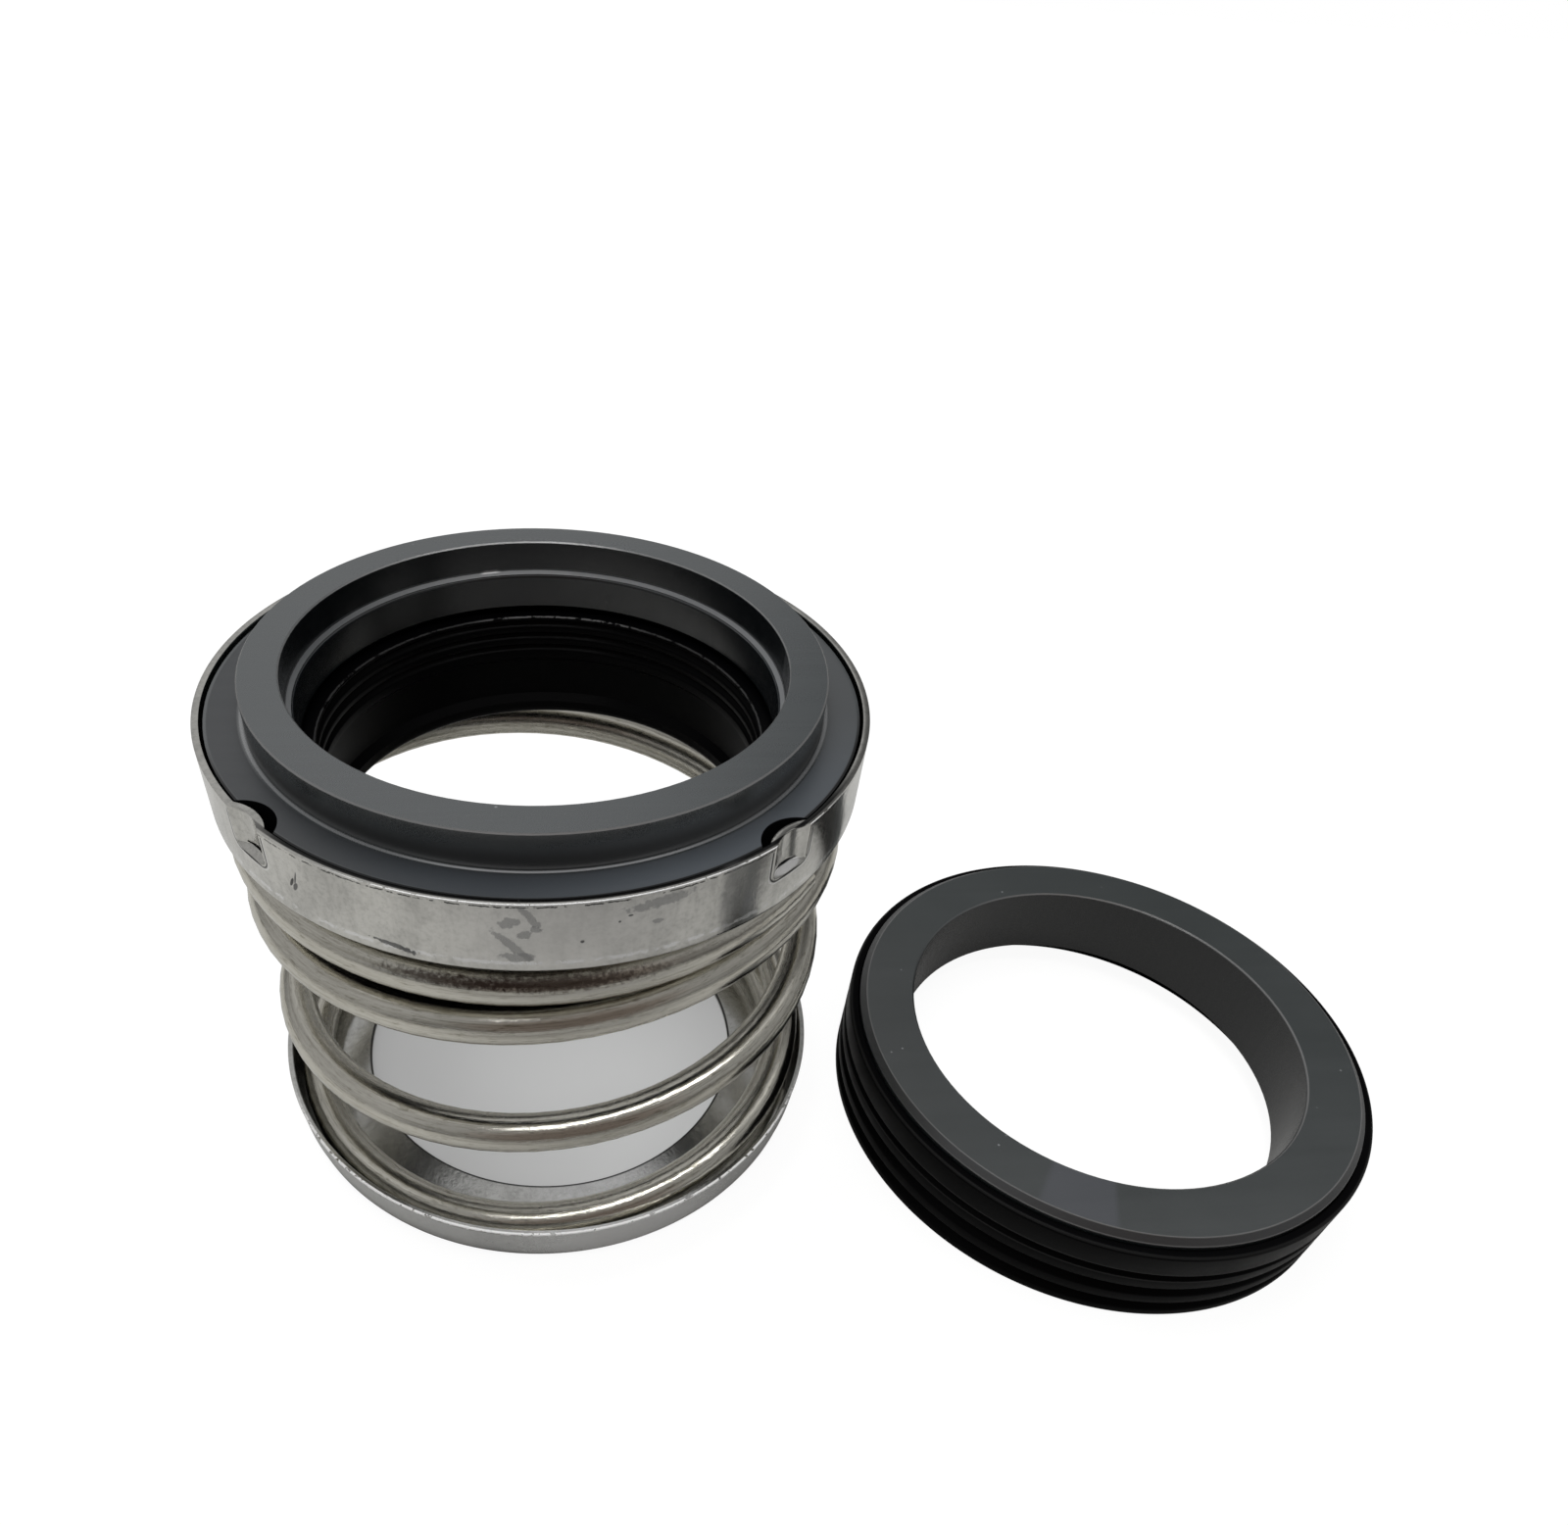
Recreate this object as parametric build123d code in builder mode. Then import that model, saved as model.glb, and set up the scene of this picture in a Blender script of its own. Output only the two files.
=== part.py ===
"""Component mechanical seal for a 50 mm shaft: a rotary head on its spring, and its stationary seat.

Millimetres, +Z up. The head's axis is the Z axis and the spring holder's foot lies at Z = 0. The head
stands as it does before fitting, with its spring at free length. The seat lies beside it, face up.
"""

from build123d import *
import os
from math import cos, radians, sin

# ---- Driving dimensions ----

# Shaft, and what grips or clears it
shaft_radius = 25.0
grip_bite = 0.3            # interference of the bellows on the shaft
ring_shaft_gap = 1.1       # face ring's rear bore
holder_shaft_gap = 0.85    # spring holder's hole
seat_shaft_gap = 0.9       # seat ring's bore

# Face ring
nose_step = 0.8            # how much wider the bore is inside the nose
nose_width = 4.15          # width of the sealing face
nose_height = 4.1
nose_bore_depth = 3.65     # straight part of the wider bore
step_height = 0.45         # height of the cone between the two bores
shoulder_width = 3.95      # from the nose out to the rim of the flange
flange_height = 4.1
face_edge = 0.15           # broken edges of the lapped face
root_fillet = 0.5          # where the nose meets the shoulder

# Drive lugs of the case and the scoops in the ring that they engage
lug_count = 4
lug_bearing = 40.0
scoop_radius = 3.95
scoop_depth = 1.95
lug_radius = 4.5           # inner surface of a lug, bulged into the scoop
lug_bulge = 0.85           # how far a lug stands in from the case's wall
lug_height = 3.6
ledge_drop = 1.1           # slope of the wall's edge at the foot of a lug
ledge_width = 0.5

# Pressed sheet of the case and the spring holder
sheet = 0.7
sheet_bend = 0.8           # inner radius of a bend
ring_case_gap = 0.35
rim_rise = 0.4             # case's rim above the ring's shoulder
case_flange_width = 4.85   # inward flange that the spring bears on
holder_height = 6.5
holder_flare = 0.6         # how much wider the holder's wall is at its top
holder_overhang = 0.25     # holder's rim outside the case's outer surface

# Bellows
head_thickness = 3.5
rubber_fit = 0.15          # room between rubber and the pressed case
undercut_depth = 0.9       # grip set back from the ring
undercut_width = 3.3
grip_length = 5.9
grip_groove_count = 3
grip_groove_pitch = 1.7
grip_groove_radius = 0.5
grip_lead = 0.95           # from the front of the grip to its first groove
tail_wall = 1.9
hollow_relief = 0.9        # hollow behind the grip, wider than the grip
neck_drop = 1.2            # how far the thick neck reaches below the case's inner floor
tail_slope = 2.4           # height of the cone from neck to tail
tail_bead = 2.0            # height of the gripping bead at the tail's end
tail_length = 14.7         # from the front of the grip to the tail's end
tail_round = 1.2

# Spring
spring_room = 50.5         # between the holder's floor and the case's flange
wire_radius = 2.15
wire_clearance = 0.2
coil_taper = 0.65          # how much wider the top turn is than the bottom one
bottom_turns = 0.744       # flat on the holder's floor
active_turns = 2.176
closed_turns = 1.03        # wound close under the case
closed_pitch = 4.0
tip_turns = 0.14           # end of the wire, sprung up against the case
tip_rise = 1.2
coil_ease = 0.14           # turns over which the pitch changes
bottom_bearing = -20.0     # where the wire's bottom end lies round the axis
points_per_turn = 12

# Seat
seat_gap = 5.7             # between the case and the boot
seat_bearing = -11.0
seat_width = 7.3           # width of the seat ring's section
seat_height = 11.0
seat_outer_edge = 0.8
seat_bore_edge = 0.25
boot_fit = 0.1             # room between boot and ring
boot_wall = 1.2
boot_foot = 3.7            # rubber under the ring
boot_foot_width = 4.0      # how far the foot reaches in under the ring
boot_below_face = 1.3
boot_edge = 0.5
groove_count = 3
groove_pitch = 3.35
groove_radius = 0.95
first_groove = 2.3

# ---- Radii of the head, built outwards from the shaft ----

grip_radius = shaft_radius - grip_bite
ring_bore = shaft_radius + ring_shaft_gap
nose_bore = ring_bore + nose_step
nose_radius = nose_bore + nose_width
flange_radius = nose_radius + shoulder_width
case_bore = flange_radius + ring_case_gap
case_radius = case_bore + sheet
case_hole = case_bore - case_flange_width
holder_hole = shaft_radius + holder_shaft_gap
holder_rim_radius = case_radius + holder_overhang
holder_foot_radius = holder_rim_radius - holder_flare

# ---- Heights of the head, built upwards from the holder's foot ----

case_base = sheet + spring_room
case_floor = case_base + sheet
ring_back = case_floor + head_thickness
shoulder = ring_back + flange_height
face = shoulder + nose_height
case_rim = shoulder + rim_rise

os.makedirs("parts", exist_ok=True)

# ---- Face ring: a raised nose on a flange, with a stepped bore ----

with BuildPart() as face_ring:
    with BuildSketch(Plane.XZ):
        with BuildLine():
            Polyline(
                (ring_bore, ring_back),
                (flange_radius, ring_back),
                (flange_radius, shoulder),
                (nose_radius, shoulder),
                (nose_radius, face),
                (nose_bore, face),
                (nose_bore, face - nose_bore_depth),
                (ring_bore, face - nose_bore_depth - step_height),
                close=True,
            )
        make_face()
    revolve(axis=Axis.Z)
    chamfer(face_ring.edges().group_by(Axis.Z)[-1], face_edge)
    shoulder_edges = face_ring.edges().filter_by_position(Axis.Z, shoulder, shoulder)
    fillet(shoulder_edges.filter_by(GeomType.CIRCLE).sort_by(SortBy.RADIUS)[0], root_fillet)
    with BuildSketch(Plane.XY.offset(ring_back)):
        with PolarLocations(flange_radius - scoop_depth + scoop_radius, lug_count, start_angle=lug_bearing):
            Circle(scoop_radius)
    extrude(amount=flange_height, mode=Mode.SUBTRACT)
face_ring.part.label = "face_ring"
export_step(face_ring.part, "parts/face_ring.step")

# ---- Drive case: a pressed cup with four lugs pushed in from its rim ----

lug_place = case_bore - lug_bulge + lug_radius
lug_base = case_rim - lug_height
lug_foot = Plane.XY.offset(lug_base)

with BuildPart() as ledge_slopes:
    with BuildSketch(Plane.XZ):
        with BuildLine():
            Polyline(
                (case_radius, lug_base - ledge_drop),
                (case_radius, lug_base),
                (case_radius - ledge_width, lug_base),
                close=True,
            )
        make_face()
    revolve(axis=Axis.Z)
    with BuildSketch(lug_foot):
        with PolarLocations(lug_place, lug_count, start_angle=lug_bearing):
            Circle(lug_radius)
    extrude(amount=-ledge_drop, mode=Mode.INTERSECT)

with BuildPart() as drive_case:
    with BuildSketch(Plane.XZ) as case_section:
        with BuildLine():
            Polyline(
                (case_hole, case_base),
                (case_radius, case_base),
                (case_radius, case_rim),
                (case_bore, case_rim),
                (case_bore, case_floor),
                (case_hole, case_floor),
                close=True,
            )
        make_face()
        outer_corner = (case_radius, case_base)
        fillet(case_section.vertices().sort_by_distance(outer_corner)[0], sheet_bend + sheet)
        inner_corner = (case_bore, case_floor)
        fillet(case_section.vertices().sort_by_distance(inner_corner)[0], sheet_bend)
    revolve(axis=Axis.Z)
    with BuildSketch(lug_foot):
        with PolarLocations(lug_place, lug_count, start_angle=lug_bearing):
            Circle(lug_radius)
    extrude(amount=lug_height, mode=Mode.SUBTRACT)
    with BuildSketch(lug_foot):
        with PolarLocations(lug_place, lug_count, start_angle=lug_bearing):
            Circle(lug_radius)
            Circle(lug_radius - sheet, mode=Mode.SUBTRACT)
        Circle(case_radius, mode=Mode.INTERSECT)
    extrude(amount=lug_height)
    add(ledge_slopes.part, mode=Mode.SUBTRACT)
drive_case.part.label = "drive_case"
export_step(drive_case.part, "parts/drive_case.step")

# ---- Bellows: a thick head in the case, a grooved grip and a tail inside the spring ----

head_radius = case_bore - rubber_fit
neck_radius = case_hole - rubber_fit
hollow_radius = grip_radius + hollow_relief
tail_radius = hollow_radius + tail_wall
grip_front = ring_back - undercut_depth
grip_back = grip_front - grip_length
tail_end = grip_front - tail_length
neck_base = case_floor - neck_drop

with BuildPart() as bellows:
    with BuildSketch(Plane.XZ):
        with BuildLine():
            Polyline(
                (head_radius, case_floor),
                (head_radius, ring_back),
                (grip_radius + undercut_width, ring_back),
                (grip_radius + undercut_width - undercut_depth, grip_front),
                (grip_radius, grip_front),
                (grip_radius, grip_back),
                (hollow_radius, grip_back - hollow_relief),
                (hollow_radius, tail_end + tail_bead + hollow_relief),
                (grip_radius, tail_end + tail_bead),
                (grip_radius, tail_end),
                (tail_radius, tail_end),
                (tail_radius, neck_base - tail_slope),
                (neck_radius, neck_base),
                (neck_radius, case_floor),
                close=True,
            )
        make_face()
        for groove in range(grip_groove_count):
            with Locations((grip_radius, grip_front - grip_lead - groove * grip_groove_pitch)):
                Circle(grip_groove_radius, mode=Mode.SUBTRACT)
    revolve(axis=Axis.Z)
    fillet(bellows.edges().group_by(Axis.Z)[0], tail_round)
    floor_edges = bellows.edges().filter_by_position(Axis.Z, case_floor, case_floor)
    fillet(floor_edges.filter_by(GeomType.CIRCLE).sort_by(SortBy.RADIUS)[-1], sheet_bend + rubber_fit)
bellows.part.label = "bellows"
export_step(bellows.part, "parts/bellows.step")

# ---- Spring holder: a shallow pressed cup that the bottom turn stands in ----

with BuildPart() as spring_holder:
    with BuildSketch(Plane.XZ) as holder_section:
        with BuildLine():
            Polyline(
                (holder_hole, 0),
                (holder_foot_radius, 0),
                (holder_rim_radius, holder_height),
                (holder_rim_radius - sheet, holder_height),
                (holder_foot_radius - sheet, sheet),
                (holder_hole, sheet),
                close=True,
            )
        make_face()
        outer_corner = (holder_foot_radius, 0)
        fillet(holder_section.vertices().sort_by_distance(outer_corner)[0], sheet_bend + sheet)
        inner_corner = (holder_foot_radius - sheet, sheet)
        fillet(holder_section.vertices().sort_by_distance(inner_corner)[0], sheet_bend)
    revolve(axis=Axis.Z)
spring_holder.part.label = "spring_holder"
export_step(spring_holder.part, "parts/spring_holder.step")

# ---- Spring: right-hand, closed at the top, flat on the holder's floor at the bottom ----

coil_turns = bottom_turns + active_turns + closed_turns
coil_bottom = sheet + wire_clearance + wire_radius
coil_top = case_base - wire_clearance - wire_radius
active_rise = coil_top - coil_bottom - closed_pitch * closed_turns - tip_rise
active_pitch = active_rise / active_turns
coil_bottom_radius = holder_foot_radius - sheet - wire_clearance - wire_radius


def eased(turns: float) -> float:
    """Turns past a change of pitch, with the change itself spread over coil_ease turns."""
    if turns <= -coil_ease / 2:
        return 0.0
    if turns >= coil_ease / 2:
        return turns
    return (turns + coil_ease / 2) ** 2 / (2 * coil_ease)


def coil_point(turns: float) -> Vector:
    """Centre of the wire, so many turns up from its bottom end."""
    rise = active_pitch * eased(turns - bottom_turns)
    closing = (active_pitch - closed_pitch) * eased(turns - bottom_turns - active_turns)
    tip = tip_rise / tip_turns * eased(turns - coil_turns + tip_turns)
    angle = radians(bottom_bearing + 360 * turns)
    radius = coil_bottom_radius + coil_taper * turns / coil_turns
    return Vector(radius * cos(angle), radius * sin(angle), coil_bottom + rise - closing + tip)


coil_steps = round(coil_turns * points_per_turn)

with BuildPart() as spring:
    with BuildLine() as wire:
        Spline(*[coil_point(coil_turns * step / coil_steps) for step in range(coil_steps + 1)])
    with BuildSketch(Plane(origin=wire.line @ 0, z_dir=wire.line % 0)):
        Circle(wire_radius)
    sweep(path=wire.line, is_frenet=True)
spring.part.label = "spring"
export_step(spring.part, "parts/spring.step")

# ---- Seat: a plain ring, lying face up beside the head ----

seat_bore = shaft_radius + seat_shaft_gap
seat_radius = seat_bore + seat_width
boot_bore = seat_radius + boot_fit
boot_radius = boot_bore + boot_wall
seat_face = boot_foot + seat_height
seat_distance = case_radius + seat_gap + boot_radius
seat_x = seat_distance * cos(radians(seat_bearing))
seat_y = seat_distance * sin(radians(seat_bearing))
seat_axis = Axis((seat_x, seat_y, 0), (0, 0, 1))
seat_section = Plane(origin=(seat_x, seat_y, 0), x_dir=(1, 0, 0), z_dir=(0, -1, 0))

with BuildPart() as seat_ring:
    with BuildSketch(seat_section):
        with Locations((seat_bore, boot_foot)):
            Rectangle(seat_width, seat_height, align=(Align.MIN, Align.MIN))
    revolve(axis=seat_axis)
    face_edges = seat_ring.edges().group_by(Axis.Z)[-1].sort_by(SortBy.RADIUS)
    chamfer(face_edges[-1], seat_outer_edge)
    chamfer(face_edges[0], seat_bore_edge)
seat_ring.part.label = "seat_ring"
export_step(seat_ring.part, "parts/seat_ring.step")

# ---- Seat boot: rubber under and round the seat ring, grooved outside ----

foot_bore = boot_bore - boot_foot_width
boot_top = seat_face - boot_below_face

with BuildPart() as seat_boot:
    with BuildSketch(seat_section):
        with BuildLine():
            Polyline(
                (foot_bore, 0),
                (boot_radius, 0),
                (boot_radius, boot_top),
                (boot_bore, boot_top),
                (boot_bore, boot_foot),
                (foot_bore, boot_foot),
                close=True,
            )
        make_face()
        for groove in range(groove_count):
            with Locations((boot_radius, first_groove + groove * groove_pitch)):
                Circle(groove_radius, mode=Mode.SUBTRACT)
    revolve(axis=seat_axis)
    outer_edges = seat_boot.edges().filter_by(GeomType.CIRCLE).group_by(SortBy.RADIUS)[-1]
    fillet([outer_edges.sort_by(Axis.Z)[0], outer_edges.sort_by(Axis.Z)[-1]], boot_edge)
seat_boot.part.label = "seat_boot"
export_step(seat_boot.part, "parts/seat_boot.step")
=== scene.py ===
"""Finishes, rubber, wire, sheet metal and studio for a component mechanical seal.

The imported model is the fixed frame, in metres. The head stands on the origin with its axis upright,
and the seat lies beside it. Sizes of pieces, and places and reaches on them, are in millimetres here;
the studio's are in metres, and a pattern's scale is per metre.
"""

import logging
import math
from collections.abc import Callable
from dataclasses import dataclass
from enum import Enum

import bmesh
import bpy
from mathutils import Matrix, Vector
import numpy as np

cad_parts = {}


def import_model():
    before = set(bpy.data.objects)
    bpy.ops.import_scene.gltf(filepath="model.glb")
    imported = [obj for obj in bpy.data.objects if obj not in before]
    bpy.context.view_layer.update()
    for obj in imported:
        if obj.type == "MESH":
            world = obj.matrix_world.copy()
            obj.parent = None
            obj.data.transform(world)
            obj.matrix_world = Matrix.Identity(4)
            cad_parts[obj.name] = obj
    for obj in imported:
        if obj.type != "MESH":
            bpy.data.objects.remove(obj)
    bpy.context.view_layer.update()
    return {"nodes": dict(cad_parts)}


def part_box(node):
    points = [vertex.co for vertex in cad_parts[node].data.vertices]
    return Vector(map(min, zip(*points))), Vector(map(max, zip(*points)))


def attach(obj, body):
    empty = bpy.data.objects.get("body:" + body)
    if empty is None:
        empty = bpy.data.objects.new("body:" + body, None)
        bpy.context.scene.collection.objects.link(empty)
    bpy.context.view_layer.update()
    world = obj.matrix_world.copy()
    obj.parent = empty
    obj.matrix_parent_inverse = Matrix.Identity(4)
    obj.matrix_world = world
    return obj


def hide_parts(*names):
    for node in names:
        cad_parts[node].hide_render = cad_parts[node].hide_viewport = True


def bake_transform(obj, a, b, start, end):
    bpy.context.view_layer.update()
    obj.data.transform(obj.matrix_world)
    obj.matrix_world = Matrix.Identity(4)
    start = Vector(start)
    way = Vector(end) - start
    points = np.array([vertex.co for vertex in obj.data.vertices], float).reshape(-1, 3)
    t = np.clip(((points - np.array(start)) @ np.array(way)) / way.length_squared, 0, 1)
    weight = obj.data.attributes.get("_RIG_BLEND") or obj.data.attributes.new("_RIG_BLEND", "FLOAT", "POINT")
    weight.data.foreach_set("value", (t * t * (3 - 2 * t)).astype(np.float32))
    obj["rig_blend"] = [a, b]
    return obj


log = logging.getLogger("seal")

MM = 0.001
DEGREE = 180 / math.pi
# Heights nearer than this, in millimetres, are one height
SAME_HEIGHT = 0.01

# Radius and height of each point of half a section, in millimetres
Section = list[tuple[float, float]]


class Body(Enum):
    """The two bodies of the seal: the one that moves, and the one that stands."""

    HEAD = "seal_head"
    STAND = "holder_and_seat"


# ---- Shader maths ----


class Wire:
    """A value in a shader tree, so that shader maths reads as Python maths."""

    def __init__(self, tree: "ShaderTree", socket: bpy.types.NodeSocket) -> None:
        """Wraps a socket.

        Args:
            tree: The tree that the socket belongs to.
            socket: The output socket to wrap.
        """
        self.tree = tree
        self.socket = socket

    def _maths(self, operation: str, *operands: "Wire | float") -> "Wire":
        """Adds one Math node.

        Args:
            operation: The Math node's operation.
            operands: Its inputs in order.

        Returns:
            The node's result.
        """
        return self.tree.add("ShaderNodeMath", {"operation": operation}, dict(enumerate(operands)))

    def __add__(self, other: "Wire | float") -> "Wire":
        """Self plus other."""
        return self._maths("ADD", self, other)

    def __radd__(self, other: float) -> "Wire":
        """Other plus self."""
        return self._maths("ADD", other, self)

    def __sub__(self, other: "Wire | float") -> "Wire":
        """Self minus other."""
        return self._maths("SUBTRACT", self, other)

    def __rsub__(self, other: float) -> "Wire":
        """Other minus self."""
        return self._maths("SUBTRACT", other, self)

    def __mul__(self, other: "Wire | float") -> "Wire":
        """Self times other."""
        return self._maths("MULTIPLY", self, other)

    def __truediv__(self, other: "Wire | float") -> "Wire":
        """Self over other."""
        return self._maths("DIVIDE", self, other)

    def __pow__(self, other: float) -> "Wire":
        """Self to the power of other."""
        return self._maths("POWER", self, other)

    def larger(self, other: "Wire | float") -> "Wire":
        """The larger of self and other."""
        return self._maths("MAXIMUM", self, other)

    def smaller(self, other: "Wire | float") -> "Wire":
        """The smaller of self and other."""
        return self._maths("MINIMUM", self, other)

    def size(self) -> "Wire":
        """Self without its sign."""
        return self._maths("ABSOLUTE", self)

    def bearing_with(self, east: "Wire") -> "Wire":
        """The bearing in degrees of a point, with self as its place to the north."""
        return self._maths("ARCTAN2", self, east) * DEGREE

    def wrapped(self, half: float) -> "Wire":
        """Self brought between minus half and half by whole turns."""
        return self._maths("WRAP", self, half, -half)

    def step(self, low: float, high: float) -> "Wire":
        """A smooth step.

        Args:
            low: Where the step starts, at 0.
            high: Where the step ends, at 1. It may lie below low for a step down.

        Returns:
            A value from 0 to 1.
        """
        ends = {"Value": self, "From Min": low, "From Max": high}
        return self.tree.add("ShaderNodeMapRange", {"interpolation_type": "SMOOTHSTEP"}, ends)


@dataclass(frozen=True)
class Pattern:
    """A noise pattern: how fine it is per metre, its octaves, how strong the finer ones are, and its lay."""

    scale: float
    detail: float = 3.0
    rough: float = 0.5
    stretch: tuple = (1.0, 1.0, 1.0)
    turn: float = 0.0


class ShaderTree:
    """Builds the nodes of one material or world."""

    def __init__(self, node_tree: bpy.types.NodeTree) -> None:
        """Empties a node tree to build in.

        Args:
            node_tree: The material's or world's own tree.
        """
        self.nodes = node_tree.nodes
        self.links = node_tree.links
        self.nodes.clear()

    def node(self, kind: str, settings: dict | None = None, inputs: dict | None = None) -> bpy.types.Node:
        """Adds any node.

        Args:
            kind: The node's type.
            settings: Its properties, set first.
            inputs: Values, Wires or sockets for its inputs, by name or number.

        Returns:
            The node.
        """
        made = self.nodes.new(kind)
        for name, value in (settings or {}).items():
            setattr(made, name, value)
        for name, value in (inputs or {}).items():
            target = made.inputs[name]
            if isinstance(value, Wire):
                self.links.new(value.socket, target)
            elif isinstance(value, bpy.types.NodeSocket):
                self.links.new(value, target)
            else:
                target.default_value = value
        return made

    def add(self, kind: str, settings: dict | None = None, inputs: dict | None = None,
            output: int | str = 0) -> Wire:
        """Adds a node and gives one of its outputs.

        Args:
            kind: The node's type.
            settings: Its properties.
            inputs: Its inputs.
            output: The wanted output's name or number.

        Returns:
            The output as a Wire.
        """
        return Wire(self, self.node(kind, settings, inputs).outputs[output])

    def mix(self, share: Wire | float, first: tuple | Wire, second: tuple | Wire) -> Wire:
        """Blends two colours.

        Args:
            share: How much of the second colour, from 0 to 1.
            first: A colour.
            second: A colour.

        Returns:
            The blended colour.
        """
        settings = {"data_type": "RGBA", "clamp_factor": True}
        made = self.node("ShaderNodeMix", settings)
        for place, value in ((0, share), (6, first), (7, second)):
            if isinstance(value, Wire):
                self.links.new(value.socket, made.inputs[place])
            elif place:
                made.inputs[place].default_value = (*value, 1.0)
            else:
                made.inputs[place].default_value = value
        return Wire(self, made.outputs[2])

    def noise(self, where: Wire, pattern: Pattern) -> Wire:
        """A noise value.

        Args:
            where: The coordinates it reads.
            pattern: What the noise is like. Its turn, in degrees, is round the upright axis.

        Returns:
            A value round 0.5.
        """
        turn = (0.0, 0.0, math.radians(pattern.turn))
        lay = {"Vector": where, "Rotation": turn, "Scale": pattern.stretch}
        inputs = {
            "Vector": self.add("ShaderNodeMapping", {}, lay),
            "Scale": pattern.scale,
            "Detail": pattern.detail,
            "Roughness": pattern.rough,
        }
        return self.add("ShaderNodeTexNoise", {}, inputs)

    def bump(self, height: Wire, depth: float) -> Wire:
        """A normal from a height.

        Args:
            height: The height, from 0 to 1.
            depth: What a height of 1 is in metres.

        Returns:
            The normal.
        """
        return self.add("ShaderNodeBump", {}, {"Height": height, "Distance": depth})

    def measure(self, operation: str, *operands: Wire | tuple) -> Wire:
        """A number measured on vectors.

        Args:
            operation: The Vector Math node's operation.
            operands: Its vectors in order.

        Returns:
            The number.
        """
        inputs = dict(enumerate(operands))
        return self.add("ShaderNodeVectorMath", {"operation": operation}, inputs, "Value")

    def blend_shaders(self, share: Wire, first: bpy.types.Node, second: bpy.types.Node) -> None:
        """Ends the tree in a blend of two shaders.

        Args:
            share: How much of the second shader.
            first: A shader node.
            second: A shader node.
        """
        both = self.node("ShaderNodeMixShader", {}, {0: share, 1: first.outputs[0], 2: second.outputs[0]})
        self.node("ShaderNodeOutputMaterial", {}, {"Surface": both.outputs[0]})


def new_material(name: str) -> tuple[bpy.types.Material, ShaderTree]:
    """Makes an empty material.

    Args:
        name: The material's name.

    Returns:
        The material and its tree.
    """
    material = bpy.data.materials.new(name)
    material.use_nodes = True
    return material, ShaderTree(material.node_tree)


def close_material(tree: ShaderTree, settings: dict) -> None:
    """Ends a tree in a Principled shader.

    Args:
        tree: The tree.
        settings: The shader's inputs.
    """
    shader = tree.node("ShaderNodeBsdfPrincipled", {}, settings)
    tree.node("ShaderNodeOutputMaterial", {}, {"Surface": shader.outputs[0]})


# ---- Modelling ----


class Bench:
    """Models one piece with the edit-mode tools. Its sizes come in millimetres."""

    def __init__(self, name: str) -> None:
        """Lays out a bench.

        Args:
            name: The name of the piece to come.
        """
        self.name = name
        self.piece: bpy.types.Object | None = None

    def draw(self, points: Section, around: tuple = (0.0, 0.0), closed: bool = True,
             bearing: float = 0.0) -> None:
        """Draws half a section as a chain of edges, point by point.

        Args:
            points: Radius and height of each point.
            around: Where the axis stands.
            closed: Whether the chain returns to its first point.
            bearing: The bearing in degrees at which the section stands.
        """
        east, north = math.cos(math.radians(bearing)), math.sin(math.radians(bearing))
        bpy.ops.object.select_all(action="DESELECT")
        bpy.ops.mesh.primitive_plane_add(size=MM, location=(0.0, 0.0, 0.0))
        self.piece = bpy.context.object
        self.piece.name = self.name
        self.piece.data.name = self.name
        bpy.ops.object.mode_set(mode="EDIT")
        bpy.ops.mesh.select_all(action="SELECT")
        bpy.ops.mesh.merge(type="CENTER")
        bpy.ops.transform.translate(value=(around[0] * MM, around[1] * MM, 0.0))
        here = (0.0, 0.0)
        ends = points + points[:1] if closed else points
        for place, (radius, height) in enumerate(ends):
            out = (radius - here[0]) * MM
            step = (out * east, out * north, (height - here[1]) * MM)
            if place:
                bpy.ops.mesh.extrude_region_move(TRANSFORM_OT_translate={"value": step})
            else:
                bpy.ops.transform.translate(value=step)
            here = (radius, height)

    def turn(self, parts: list[tuple[float, int]], around: tuple = (0.0, 0.0)) -> None:
        """Spins the drawn section once round its axis, part by part, and joins the ends.

        Args:
            parts: The angle in degrees and the steps of each part of the turn.
            around: Where the axis stands.
        """
        centre = (around[0] * MM, around[1] * MM, 0.0)
        bpy.ops.mesh.select_all(action="SELECT")
        for angle, steps in parts:
            bpy.ops.mesh.spin(steps=steps, angle=-math.radians(angle), center=centre, axis=(0.0, 0.0, 1.0))
        bpy.ops.mesh.select_all(action="SELECT")
        bpy.ops.mesh.remove_doubles(threshold=0.001 * MM)
        bpy.ops.mesh.normals_make_consistent(inside=False)

    def pick(self, wanted: Callable[[Vector], bool]) -> None:
        """Selects the points that a test accepts, and nothing else.

        Args:
            wanted: The test, given a point's place in metres.
        """
        bpy.ops.mesh.select_mode(type="VERT")
        bpy.ops.mesh.select_all(action="DESELECT")
        edit = bmesh.from_edit_mesh(self.piece.data)
        for point in edit.verts:
            if wanted(point.co):
                point.select_set(True)
        edit.select_flush_mode()
        bmesh.update_edit_mesh(self.piece.data)

    def close(self) -> None:
        """Leaves edit mode."""
        bpy.ops.object.mode_set(mode="OBJECT")

    def modify(self, kind: str, settings: dict) -> None:
        """Adds a modifier and applies it.

        Args:
            kind: The modifier's type.
            settings: Its properties.
        """
        modifier = self.piece.modifiers.new(kind.lower(), kind)
        for name, value in settings.items():
            setattr(modifier, name, value)
        bpy.ops.object.modifier_apply(modifier=modifier.name)

    def smooth(self, angle: float = 35.0) -> None:
        """Shades the piece smooth, apart from its sharp edges.

        Args:
            angle: The angle in degrees from which an edge is sharp.
        """
        bpy.ops.object.shade_smooth_by_angle(angle=math.radians(angle))


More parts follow.
